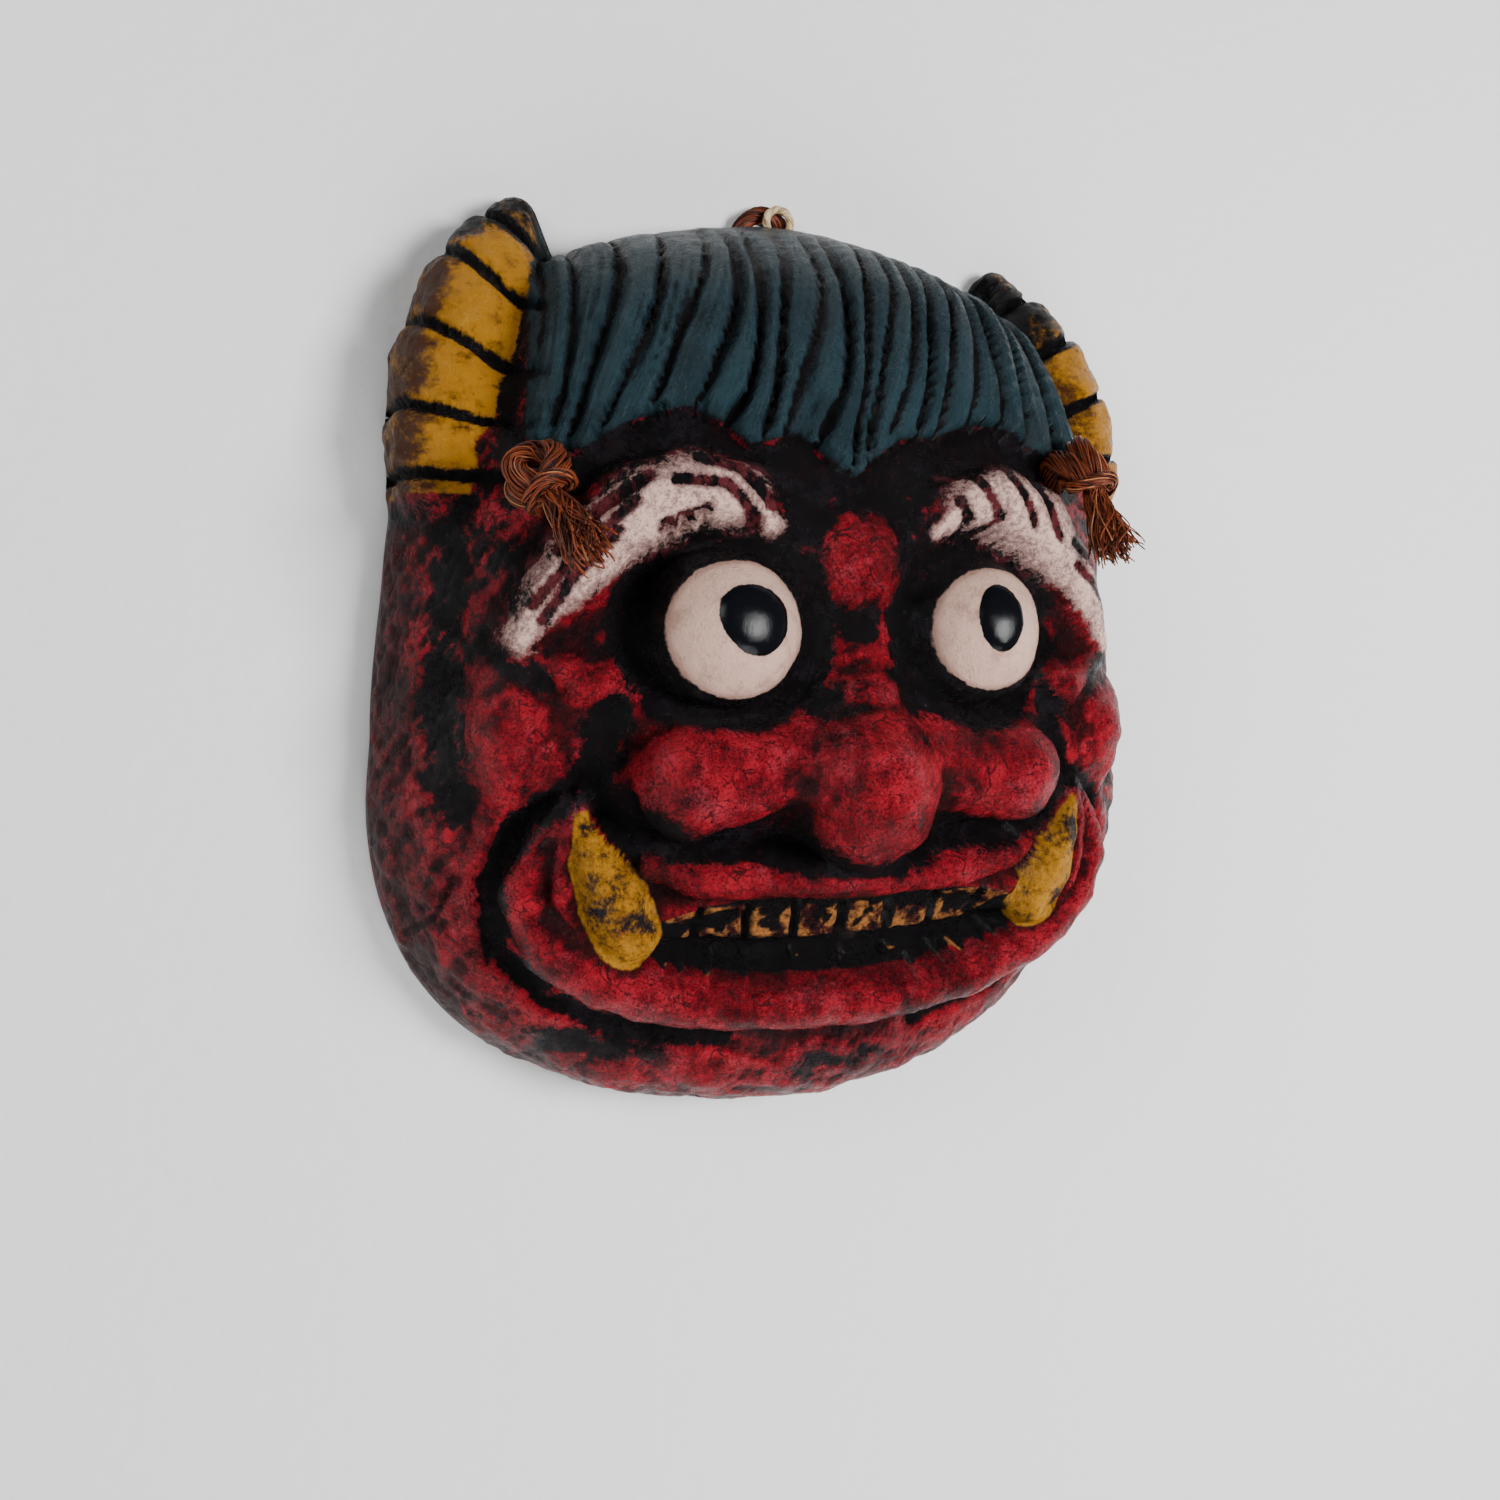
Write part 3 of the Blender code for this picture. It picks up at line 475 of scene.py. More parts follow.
    def leaning(self, p: np.ndarray, skin: Skin) -> np.ndarray:
        """The field of the mask as it is, with its right side drawn in."""
        even, drawn_in = self.lean(p)
        return self.value(even, skin) / drawn_in

    def value(self, p: np.ndarray, skin: Skin) -> np.ndarray:
        """The field of the even face.

        Args:
            p: The places.
            skin: Which skin it is for.

        Returns:
            About the distance to that skin.
        """
        cut = self.carving
        right = np.stack([np.abs(p[:, 0]), p[:, 1], p[:, 2]], axis=1)
        x, y = p[:, 0], p[:, 1]
        side = right[:, 0]
        field = self.dome(p)
        field = smooth_min(field, self.ball(right, *cut.cheek), 0.008)
        field = smooth_min(field, self.ball(right, *cut.chin), 0.012)
        field = smooth_min(field, self.chain(right, self.on_dome(cut.brow)), 0.004)
        field = smooth_min(field, self.chain(right, self.on_dome(cut.smile_fold)), 0.004)
        eye = np.hypot(side - cut.eye[0][0], y - cut.eye[0][1])
        field += cut.socket[2] * groove(eye - cut.socket[0], cut.socket[1])
        for depth, width, line in (
            (0.0032, 0.0035, cut.mouth_fold),
            (0.005, 0.005, cut.nostril_fold),
            (0.0022, 0.006, cut.cheek_fold),
            (0.003, 0.008, cut.hair_fold),
        ):
            field += depth * groove(line_distance(side, y, line), width)
        middle = np.hypot(side / 0.056, (y + 0.0725) / 0.0125)
        field += cut.mouth_rise * (1.0 - smooth_step(0.75, 1.1, middle))
        if skin == Skin.FRONT:
            field -= self.teeth(x, y)
        field = smooth_min(field, self.chain(p, self.on_dome(cut.bridge)), 0.01)
        field = smooth_min(field, self.ball(p, *cut.nose_tip), 0.006)
        for stations, blend in (
            (cut.wing, 0.005),
            (cut.upper_lip, 0.002),
            (cut.lower_lip, 0.003),
            (cut.inner_lip, 0.0015),
            (cut.tusk, 0.001),
        ):
            field = smooth_min(field, self.chain(right, self.on_dome(stations)), blend)
        field = smooth_min(field, self.ball(p, *cut.ball), 0.003)
        field = smooth_min(field, self.ball(right, *cut.eye), 0.001)
        horn = cut.horn[cut.hollow_from :] if skin == Skin.BACK else cut.horn
        field = smooth_min(field, self.chain(right, horn, skirted=True), 0.003)
        if skin == Skin.FRONT:
            rings = np.min([line_distance(side, y, ring) for ring in cut.horn_rings], axis=0)
            field += 0.002 * groove(rings, 0.0013)
            field -= self.hair(x, y)
        return field


class PaintMap:
    """Where each colour of the mask lies, as amounts that the shell's points carry."""

    def __init__(self, field: FaceField, strokes: Strokes) -> None:
        """Keeps the field and the strokes."""
        self.field = field
        self.strokes = strokes

    def wrinkles(self, x: np.ndarray, y: np.ndarray) -> np.ndarray:
        """The distance to the nearest carved stroke of either brow."""
        lines = [*self.strokes.brow_wrinkles, *self.strokes.right_brow_wrinkles]
        return np.min([line_distance(x, y, line) for line in lines], axis=0)

    def eye_paint(self, x: np.ndarray, y: np.ndarray) -> np.ndarray:
        """How far inside the cream of either eye, in metres."""
        left = 1.0 - np.hypot((x + 0.0345) / 0.0187, (y - 0.0078) / 0.0172)
        right = 1.0 - np.hypot((x - 0.0365) / 0.0175, (y - 0.0085) / 0.016)
        return 0.0175 * np.maximum(left, right)

    def pupil_paint(self, x: np.ndarray, y: np.ndarray) -> np.ndarray:
        """How far inside either pupil, in metres. The left one tapers downwards."""
        u, v = x + 0.0325, y - 0.01
        left = 1.0 - np.hypot((u + 0.1 * v) / (0.0094 + 0.13 * v), v / 0.0088)
        right = 1.0 - np.hypot((x - 0.036) / 0.0068, (y - 0.0112) / 0.0088)
        return 0.0085 * np.maximum(left, right)

    def detail(self, p: np.ndarray) -> np.ndarray:
        """How far each point of the front moves out for the finest carving, in metres."""
        x, y = p[:, 0], p[:, 1]
        cut = self.field.carving
        calm = 1.0 - 0.85 * smooth_step(-0.001, 0.002, self.eye_paint(x, y))
        calm *= 1.0 - 0.65 * self.field.hair_inside(x, y)
        rough = 0.00048 * uneven(p, 0.02, 1) + 0.0003 * uneven(p, 0.0085, 2)
        move = calm * (rough + 0.00015 * uneven(p, 0.0036, 3))
        move -= 0.00125 * groove(self.wrinkles(x, y), 0.001)
        for crack in self.strokes.cracks:
            move -= 0.00085 * groove(line_distance(x, y, crack), 0.0006)
        for bx, by, radius, height in self.strokes.bumps:
            move += height * groove(np.hypot(x - bx, y - by), radius)
        move += 0.00075 * smooth_step(0.0, 0.001, self.pupil_paint(x, y))
        rings = np.min([line_distance(np.abs(x), y, ring) for ring in cut.horn_rings], axis=0)
        horn = self.field.chain(self.mirrored(p), cut.horn, skirted=True)
        on_horn = smooth_step(0.0, 0.004, -horn + 0.003)
        move += on_horn * 0.0009 * smooth_step(0.001, 0.006, rings)
        move -= on_horn * 0.0008 * groove(rings + 0.0003 * uneven(p, 0.006, 9), 0.001)
        tooth = smooth_step(0.0, 0.0016, self.field.teeth(x, y) - 0.001)
        move += tooth * 0.00025 * uneven(p, 0.0045, 4)
        return move * smooth_step(0.0, 0.006, p[:, 2])

    @staticmethod
    def mirrored(p: np.ndarray) -> np.ndarray:
        """The points brought to the right half."""
        return np.stack([np.abs(p[:, 0]), p[:, 1], p[:, 2]], axis=1)

    def undercoat_and_shade(self, p: np.ndarray) -> np.ndarray:
        """How much black is painted through the red, from 0 to 1.6: round the eyes, in the folds and under
        the fringe it is partly the black undercoat and partly painted shade.
        """
        x, y = p[:, 0], p[:, 1]
        side = np.abs(x)
        cut = self.field.carving
        eye = np.hypot((side - 0.0355) / 1.04, y - 0.008)
        inner_corner = np.hypot((side - 0.02) / 1.1, (y - 0.028) / 1.2)
        ball = np.hypot(x, y - 0.027)
        under_fringe = self.field.fringe_height(x) - y
        # Black round the eyes, at their inner corners, in a band under the fringe, above the brows and
        # round the ball: partly the undercoat, partly painted shade.
        dark = [
            1.6 * groove(np.maximum(eye - 0.0215, 0.0), 0.0058),
            1.05 * groove(np.maximum(inner_corner - 0.006, 0.0), 0.0065),
            1.3 * smooth_step(0.017, 0.006, under_fringe) * smooth_step(0.094, 0.084, side),
            1.5 * smooth_step(0.041, 0.0445, y) * smooth_step(0.066, 0.054, side),
            1.25 * groove(ball - 0.0185, 0.0042) * smooth_step(0.01, 0.016, y),
        ]
        both_sides = (
            (1.25, 0.0062, cut.nostril_fold),
            (1.2, 0.004, cut.mouth_fold),
            (0.95, 0.0062, cut.cheek_fold),
            *self.strokes.black_both_sides,
        )
        for place, rows in ((side, both_sides), (x, self.strokes.black_one_side)):
            dark += [depth * groove(line_distance(place, y, line), width) for depth, width, line in rows]
        return np.clip(np.max(dark, axis=0), 0.0, 1.6)

    def brow_top(self, x: np.ndarray, y: np.ndarray) -> np.ndarray:
        """1 along the upper edge of either brow, where its cream is thinnest."""
        line = np.array(self.strokes.brow_paint)
        middle = np.interp(np.abs(x), -line[:, 0], line[:, 1])
        half = np.interp(np.abs(x), -line[:, 0], line[:, 2])
        return smooth_step(0.3, 1.0, (y - middle) / half)

    def left_side_shade(self, x: np.ndarray, y: np.ndarray) -> np.ndarray:
        """1 on the horns' sides that face left, away from the key light: the outer edge of the left horn
        and the inner side of the right one. It is painted shade.
        """
        axis = np.array(self.field.carving.horn)[::-1]
        out = np.abs(x) - np.interp(y, axis[:, 1], axis[:, 0])
        return np.where(x < 0, smooth_step(0.003, 0.014, out), smooth_step(0.004, -0.01, out))

    def amounts(self, p: np.ndarray) -> dict[str, np.ndarray]:
        """Everything that the paint's material reads.

        Args:
            p: The shell's points.

        Returns:
            Rows of amounts by name: distances inside a colour are in millimetres.
        """
        x, y = p[:, 0], p[:, 1]
        right = self.mirrored(p)
        cut = self.field.carving
        horn = self.field.chain(right, cut.horn, skirted=True)
        tusk = self.field.chain(right, self.field.on_dome(cut.tusk))
        brow = np.array(self.strokes.brow_paint)
        brow = self.field.chain(
            np.stack([-np.abs(x), y, np.zeros(len(x))], axis=1),
            np.stack([brow[:, 0], brow[:, 1], np.zeros(len(brow)), brow[:, 2]], axis=1),
        )
        lips = [
            self.field.chain(right, self.field.on_dome(line))
            for line in (cut.upper_lip, cut.lower_lip, cut.inner_lip)
        ]
        lips = np.min(lips, axis=0)
        down, parting, share, number = self.field.locks(x, y)
        rings = np.min([line_distance(np.abs(x), y, ring) for ring in cut.horn_rings], axis=0)
        middle = np.hypot(np.abs(x) / 0.058, (y + 0.0725) / 0.0135)
        front = smooth_step(-0.0034, -0.0014, self.field.value(p, Skin.FRONT))
        side = 0.082 - np.abs(x) - 0.12 * np.maximum(y - 0.06, 0.0)
        hair = np.minimum(y - self.field.fringe_height(x), side)
        return {
            "front": front,
            "hair": 1000.0 * np.minimum(hair, horn - 0.0008),
            "horn": 1000.0 * np.minimum(0.0024 - horn, 1.4 * (y - 0.0435)),
            "brow": -1000.0 * brow,
            "brow_top": self.brow_top(x, y),
            # Low parts of the side walls, where the red is painted darker: painted shade.
            "wall": smooth_step(0.034, 0.014, p[:, 2]) * smooth_step(0.06, 0.092, np.abs(x)),
            "eye": 1000.0 * np.where(p[:, 2] > 0.045, self.eye_paint(x, y), -0.01),
            "pupil": 1000.0 * self.pupil_paint(x, y),
            "tusk": 1000.0 * (0.0009 - tusk),
            "tooth": self.field.teeth(x, y) / cut.tooth_height,
            "mouth": 1000.0 * np.minimum(0.05 * (1.0 - middle), lips - 0.0006),
            "undercoat_and_shade": self.undercoat_and_shade(p),
            "parting": 1000.0 * parting,
            "lock": share + number,
            "down": down,
            "ring": 1000.0 * rings,
            "stroke": 1000.0 * self.wrinkles(x, y),
            "left_side_shade": self.left_side_shade(x, y),
            "tusk_middle": 1000.0 * np.clip(0.0009 - tusk, 0.0, 0.004),
            "tip": smooth_step(0.1, 0.122, y + 0.01 * (x > 0)),
        }


class Bench:
    """A material's node tree, with short ways to add the nodes that the finishes use."""

    def __init__(self, name: str) -> None:
        """Makes the material."""
        self.material = bpy.data.materials.new(name)
        self.material.use_nodes = True
        self.tree = self.material.node_tree
        self.shader = self.tree.nodes["Principled BSDF"]
        self.place = self.node("ShaderNodeTexCoord").outputs["Object"]

    def node(self, kind: str) -> bpy.types.Node:
        """Adds a node of this kind."""
        return self.tree.nodes.new(kind)

    def join(self, source: object, target: bpy.types.NodeSocket) -> None:
        """Links a socket, or the amount of this name, into another socket, or sets it to a value."""
        if isinstance(source, str):
            source = self.amount(source)
        if isinstance(source, bpy.types.NodeSocket):
            self.tree.links.new(source, target)
        else:
            target.default_value = source

    def amount(self, name: str) -> bpy.types.NodeSocket:
        """One of the amounts that the piece's points carry."""
        made = self.node("ShaderNodeAttribute")
        made.attribute_name = name
        return made.outputs["Fac"]

    def stretched(self, scale: tuple, place: bpy.types.NodeSocket | None = None) -> bpy.types.NodeSocket:
        """The place scaled by its own amount along each axis."""
        made = self.node("ShaderNodeMapping")
        self.join(place or self.place, made.inputs["Vector"])
        made.inputs["Scale"].default_value = scale
        return made.outputs["Vector"]

    def noise(
        self, scale: float, detail: float, rough: float, place: object = None
    ) -> bpy.types.NodeSocket:
        """Cloudy noise.

        Args:
            scale: Waves in a metre.
            detail: How many finer layers it has.
            rough: How strong they are.
            place: What it is laid over, or None for the place itself.

        Returns:
            Its value, about 0.5 on average.
        """
        made = self.node("ShaderNodeTexNoise")
        self.join(place or self.place, made.inputs["Vector"])
        made.inputs["Scale"].default_value = scale
        made.inputs["Detail"].default_value = detail
        made.inputs["Roughness"].default_value = rough
        return made.outputs["Fac"]

    def crackle(self, scale: float, place: object = None) -> bpy.types.NodeSocket:
        """The distance to the nearest crack of a net of fine cracks, in their own scale."""
        made = self.node("ShaderNodeTexVoronoi")
        made.feature = "DISTANCE_TO_EDGE"
        self.join(place or self.place, made.inputs["Vector"])
        made.inputs["Scale"].default_value = scale
        return made.outputs["Distance"]

    def shaken(self, scale: float, reach: float) -> bpy.types.NodeSocket:
        """The place moved about by noise, which makes straight patterns ragged."""
        made = self.node("ShaderNodeTexNoise")
        self.join(self.place, made.inputs["Vector"])
        made.inputs["Scale"].default_value = scale
        made.inputs["Detail"].default_value = 4.0
        moved = self.node("ShaderNodeVectorMath")
        moved.operation = "MULTIPLY_ADD"
        self.join(made.outputs["Color"], moved.inputs[0])
        moved.inputs[1].default_value = (reach, reach, reach)
        self.join(self.place, moved.inputs[2])
        return moved.outputs[0]

    def sum(self, *terms: tuple) -> bpy.types.NodeSocket:
        """Adds sockets, each times its weight.

        Args:
            *terms: Pairs of a socket or number and its weight.

        Returns:
            Their sum.
        """
        total: object = 0.0
        for source, weight in terms:
            made = self.node("ShaderNodeMath")
            made.operation = "MULTIPLY_ADD"
            self.join(source, made.inputs[0])
            self.join(weight, made.inputs[1])
            self.join(total, made.inputs[2])
            total = made.outputs[0]
        return total

    def step(self, value: object, low: float, high: float, top: float = 1.0) -> bpy.types.NodeSocket:
        """0 where the value is low, top where it is high, and smooth between."""
        made = self.node("ShaderNodeMapRange")
        made.interpolation_type = "SMOOTHSTEP"
        self.join(value, made.inputs["Value"])
        lower, upper, first, last = (low, high, 0.0, top) if low < high else (high, low, top, 0.0)
        made.inputs["From Min"].default_value = lower
        made.inputs["From Max"].default_value = upper
        made.inputs["To Min"].default_value = first
        made.inputs["To Max"].default_value = last
        return made.outputs["Result"]

    def both(self, a: object, b: object) -> bpy.types.NodeSocket:
        """Two amounts multiplied."""
        made = self.node("ShaderNodeMath")
        made.operation = "MULTIPLY"
        self.join(a, made.inputs[0])
        self.join(b, made.inputs[1])
        return made.outputs[0]

    def blend(self, share: object, a: object, b: object) -> bpy.types.NodeSocket:
        """Colour a where the share is 0 and colour b where it is 1."""
        made = self.node("ShaderNodeMix")
        made.data_type = "RGBA"
        self.join(share, made.inputs["Factor"])
        for source, socket in ((a, made.inputs[6]), (b, made.inputs[7])):
            self.join((*source, 1.0) if isinstance(source, tuple) else source, socket)
        return made.outputs[2]

    def bump(self, height: object, depth: float, strength: float = 1.0) -> None:
        """Raises the surface's look by a height times a depth in metres."""
        made = self.node("ShaderNodeBump")
        self.join(height, made.inputs["Height"])
        made.inputs["Distance"].default_value = depth
        made.inputs["Strength"].default_value = strength
        self.join(made.outputs["Normal"], self.shader.inputs["Normal"])


@dataclass(frozen=True)
class MaskPaint:
    """The hand-painted finish of the shell: each colour dry-brushed over a black undercoat."""

    black: tuple = (0.0026, 0.002, 0.0026)
    charcoal: tuple = (0.008, 0.0062, 0.0085)
    glaze_red: tuple = (0.026, 0.0012, 0.002)
    deep_red: tuple = (0.064, 0.0016, 0.0038)
    red: tuple = (0.15, 0.003, 0.008)
    bright_red: tuple = (0.3, 0.008, 0.0175)
    rose_highlight: tuple = (0.33, 0.06, 0.085)
    # Pinkish red that stands in for gloss on the raised red: painted highlight.
    teal: tuple = (0.0022, 0.0082, 0.0112)
    # Paler teal that stands in for gloss on the locks: painted highlight.
    teal_highlight: tuple = (0.017, 0.04, 0.05)
    fringe_red: tuple = (0.19, 0.006, 0.014)
    mustard: tuple = (0.35, 0.15, 0.008)
    pale_mustard: tuple = (0.5, 0.26, 0.035)
    horn_brown: tuple = (0.048, 0.015, 0.0035)
    cream: tuple = (0.72, 0.47, 0.4)
    thin_cream: tuple = (0.26, 0.15, 0.135)
    brow_shade: tuple = (0.09, 0.014, 0.018)
    eye_cream: tuple = (0.52, 0.335, 0.265)
    eye_shade: tuple = (0.26, 0.135, 0.105)
    gold: tuple = (0.34, 0.13, 0.033)
    maroon: tuple = (0.07, 0.01, 0.012)
    pupil_black: tuple = (0.003, 0.0033, 0.0045)
    board: tuple = (0.046, 0.033, 0.025)

    def red_over_black(self, bench: Bench) -> bpy.types.NodeSocket:
        """The red of the skin under a dark glaze, black in the folds, partly the undercoat and partly
        painted shade, and worn back to black in patches.
        """
        fine = bench.noise(620.0, 7.0, 0.8)
        middle = bench.noise(120.0, 6.0, 0.7)
        broad = bench.noise(38.0, 4.0, 0.6)
        streak = bench.noise(260.0, 5.0, 0.7, bench.stretched((1.0, 0.3, 1.0)))
        # Random tone of the red; the wall amount darkens it on the low side walls as painted shade.
        bright = bench.sum(
            (broad, 0.8), (middle, 0.8), (streak, 0.6), (fine, 0.4), ("ridge", 0.1), ("wall", -0.16)
        )
        red = bench.blend(bench.step(bright, 1.12, 1.3), self.glaze_red, self.deep_red)
        red = bench.blend(bench.step(bright, 1.26, 1.42), red, self.red)
        red = bench.blend(bench.step(bright, 1.38, 1.6), red, self.bright_red)
        # Pinkish patches on the red, a little more on ridges: painted highlight.
        highlight_share = bench.sum((bench.noise(74.0, 6.0, 0.75), 1.0), ("ridge", 0.05), (fine, 0.3))
        red = bench.blend(bench.step(highlight_share, 0.74, 0.92, 0.3), red, self.rose_highlight)
        speck = bench.sum((bench.noise(1500.0, 4.0, 0.8), 1.0), (middle, -0.35), (0.175, 1.0))
        red = bench.blend(bench.step(speck, 0.5, 0.59, 0.78), red, self.black)
        torn = bench.crackle(210.0, bench.shaken(120.0, 0.012))
        line = bench.both(bench.step(torn, 0.075, 0.02, 0.85), bench.step(middle, 0.5, 0.6))
        red = bench.blend(line, red, self.black)
        # The red gives way to black in the folds and grooves and stays on ridges: partly the dry-brushed
        # undercoat, partly painted shade.
        cover = bench.sum(
            ("undercoat_and_shade", -0.82), ("ridge", 0.16), (broad, 0.75), (middle, 1.3), (fine, 1.4)
        )
        dark = bench.blend(bench.step(middle, 0.5, 0.66), self.black, self.charcoal)
        glaze = bench.step(bench.sum((streak, 0.6), (fine, 0.6)), 0.62, 0.78, 0.55)
        dark = bench.blend(glaze, dark, self.glaze_red)
        return bench.blend(bench.step(cover, 1.14, 1.5), dark, red)

    def hair_colour(self, bench: Bench) -> bpy.types.NodeSocket:
        """Teal locks with black partings; the paler teal towards their lower ends and on their ridges is
        painted highlight.
        """
        lock = bench.node("ShaderNodeCombineXYZ")
        bench.join("lock", lock.inputs[0])
        bench.join("down", lock.inputs[1])
        along = bench.noise(1.0, 5.0, 0.7, bench.stretched((9.0, 2.2, 1.0), lock.outputs[0]))
        fine = bench.noise(560.0, 6.0, 0.75)
        middle = bench.noise(70.0, 4.0, 0.6)
        # Paler teal on the ridges and towards the locks' lower ends: painted highlight.
        light = bench.sum((along, 0.8), ("ridge", 0.12), ("down", 0.14), (fine, 0.4), (middle, 0.5))
        teal = bench.blend(bench.step(light, 0.8, 1.16), self.teal, self.teal_highlight)
        dark = bench.sum(("parting", 1.0), ("ridge", 0.55), (fine, 0.9), (along, 1.6))
        dull = bench.step(bench.sum((middle, 0.7), (along, 0.7)), 0.62, 0.8, 0.45)
        teal = bench.blend(dull, teal, self.black)
        return bench.blend(bench.step(dark, 1.48, 2.05), self.black, teal)

    def horn_colour(self, bench: Bench) -> bpy.types.NodeSocket:
        """Worn mustard panels between black grooves, darkened to brown on their left-facing sides as
        painted shade.
        """
        fine = bench.noise(560.0, 7.0, 0.8)
        middle = bench.noise(120.0, 6.0, 0.7)
        streak = bench.noise(190.0, 5.0, 0.7, bench.stretched((0.5, 1.6, 1.0)))
        # Random wear of the mustard, with brown painted shade on the horns' left-facing sides.
        worn = bench.sum((middle, 1.0), (streak, 0.5), (fine, 0.2), ("left_side_shade", -0.24))
        colour = bench.blend(bench.step(worn, 0.58, 0.86), self.horn_brown, self.mustard)
        colour = bench.blend(bench.step(worn, 0.9, 1.12, 0.55), colour, self.pale_mustard)
        near = bench.step("ring", 0.4, 3.4)
        # Black near the ring grooves and at the tips, and more black on the left-facing sides as painted
        # shade.
        show = bench.sum(
            (near, 0.62), ("ridge", 0.05), (middle, 0.8), (fine, 0.8),
            ("tip", -0.55), ("left_side_shade", -0.12),
        )
        return bench.blend(bench.step(show, 0.92, 1.22), self.black, colour)

    def brow_colour(self, bench: Bench) -> bpy.types.NodeSocket:
        """Cream brushed thinly over crimson and black, with black strokes."""
        fine = bench.noise(700.0, 7.0, 0.82)
        middle = bench.noise(150.0, 6.0, 0.75, bench.stretched((1.0, 0.5, 1.0)))
        under = bench.blend(bench.step(middle, 0.46, 0.58), self.black, self.brow_shade)
        strokes = bench.step("stroke", 0.3, 2.4)
        edge = bench.sum((bench.step("brow", 0.0, 4.0), 1.0), ("brow_top", -1.2))
        show = bench.sum((fine, 1.7), (middle, 1.05), ("ridge", 0.12), (strokes, 0.75), (edge, 0.3))
        thin = bench.blend(bench.step(show, 2.13, 2.33), under, self.thin_cream)
        return bench.blend(bench.step(show, 2.38, 2.74), thin, self.cream)

    def tooth_colour(self, bench: Bench) -> bpy.types.NodeSocket:
        """Gold brushed on the fronts of the upper teeth, and faintly on the lower ones."""
        fine = bench.noise(520.0, 6.0, 0.8)
        middle = bench.noise(170.0, 4.0, 0.65)
        gold = bench.blend(bench.step(middle, 0.42, 0.56), self.maroon, self.gold)
        show = bench.sum(
            ("tooth", 0.55), (fine, 1.3), (middle, 0.9), ("ridge", 0.24)
        )
        return bench.blend(bench.step(show, 1.76, 2.24), self.black, gold)

    def tusk_colour(self, bench: Bench) -> bpy.types.NodeSocket:
        """Golden ochre with brown speckle and a dark middle."""
        fine = bench.noise(560.0, 7.0, 0.82)
        middle = bench.noise(100.0, 5.0, 0.65)
        worn = bench.step(bench.sum((fine, 0.7), (middle, 0.7)), 0.52, 0.8)
        bright = bench.step(bench.sum((fine, 0.6), (middle, 0.5)), 0.56, 0.72, 0.6)
        gold = bench.blend(worn, self.horn_brown, self.mustard)
        gold = bench.blend(bright, gold, self.pale_mustard)
        deep = bench.sum((middle, 1.0), (fine, 0.5), ("tusk_middle", -0.16))
        return bench.blend(bench.step(deep, 0.44, 0.64), self.charcoal, gold)

    def dress(self) -> bpy.types.Material:
        """Builds the material.

        Returns:
            The material, which reads the amounts of a PaintMap.
        """
        bench = Bench("mask_paint")
        wobble = bench.noise(300.0, 5.0, 0.7)
        ragged = bench.noise(85.0, 6.0, 0.72)

        def inside(name: str, soft: float, wave: float) -> bpy.types.NodeSocket:
            """1 where an amount is positive, with a hand-painted edge."""
            edge = bench.sum((name, 1.0), (wobble, wave), (-0.5 * wave, 1.0))
            return bench.step(edge, -soft, soft)

        colour = self.red_over_black(bench)
        mouth = bench.blend("tooth", self.black, self.tooth_colour(bench))
        colour = bench.blend(inside("mouth", 0.6, 1.4), colour, mouth)
        colour = bench.blend(inside("tusk", 0.4, 1.4), colour, self.tusk_colour(bench))
        browed = bench.sum(("brow", 1.0), (ragged, 9.0), (wobble, 5.0), (-7.3, 1.0))
        colour = bench.blend(bench.step(browed, -0.8, 1.4), colour, self.brow_colour(bench))
        below = bench.sum(("hair", 1.0), (ragged, 3.0), (-0.6, 1.0))
        parts = bench.step(bench.sum((ragged, 0.6), (wobble, 0.6)), 0.62, 0.72)
        colour = bench.blend(bench.both(bench.step(below, -0.9, 0.1), parts), colour, self.fringe_red)
        colour = bench.blend(inside("hair", 0.4, 2.4), colour, self.hair_colour(bench))
        horned = bench.sum(("horn", 1.0), (ragged, 7.0), (wobble, 2.5), (-4.7, 1.0))
        colour = bench.blend(bench.step(horned, -0.6, 0.6), colour, self.horn_colour(bench))
        cloudy = bench.step(bench.noise(150.0, 6.0, 0.72), 0.48, 0.66, 0.55)
        specks = bench.step(bench.noise(1300.0, 4.0, 0.8), 0.58, 0.68, 0.55)
        white = bench.blend(cloudy, self.eye_cream, self.eye_shade)
        white = bench.blend(specks, white, self.eye_shade)
        white = bench.blend(bench.step("eye", 1.6, 0.2, 0.6), white, self.eye_shade)
        eye = inside("eye", 0.25, 1.8)
        colour = bench.blend(eye, colour, white)
        pupil = inside("pupil", 0.12, 0.9)
        colour = bench.blend(pupil, colour, self.pupil_black)
        colour = bench.blend("front", self.board, colour)
        bench.join(colour, bench.shader.inputs["Base Color"])

        sheen = bench.sum(
            (bench.noise(60.0, 5.0, 0.65), 0.5), (bench.noise(700.0, 4.0, 0.75), 0.3), (-0.16, 1.0)
        )
        rough = bench.node("ShaderNodeMix")
        bench.join(pupil, rough.inputs["Factor"])
        bench.join(sheen, rough.inputs[2])
        rough.inputs[3].default_value = 0.14
        bench.join(rough.outputs[0], bench.shader.inputs["Roughness"])
        bench.shader.inputs["Specular IOR Level"].default_value = 0.11
        height = bench.sum(
            (bench.noise(330.0, 8.0, 0.68), 1.3),
            (bench.noise(1400.0, 4.0, 0.75), 0.55),
            (bench.noise(620.0, 4.0, 0.65, bench.stretched((1.0, 0.28, 1.0))), 0.5),
        )
        calm = bench.sum((eye, -0.55), (pupil, -0.4), (1.0, 1.0))
        bench.bump(bench.both(height, calm), 0.00135)
        return bench.material


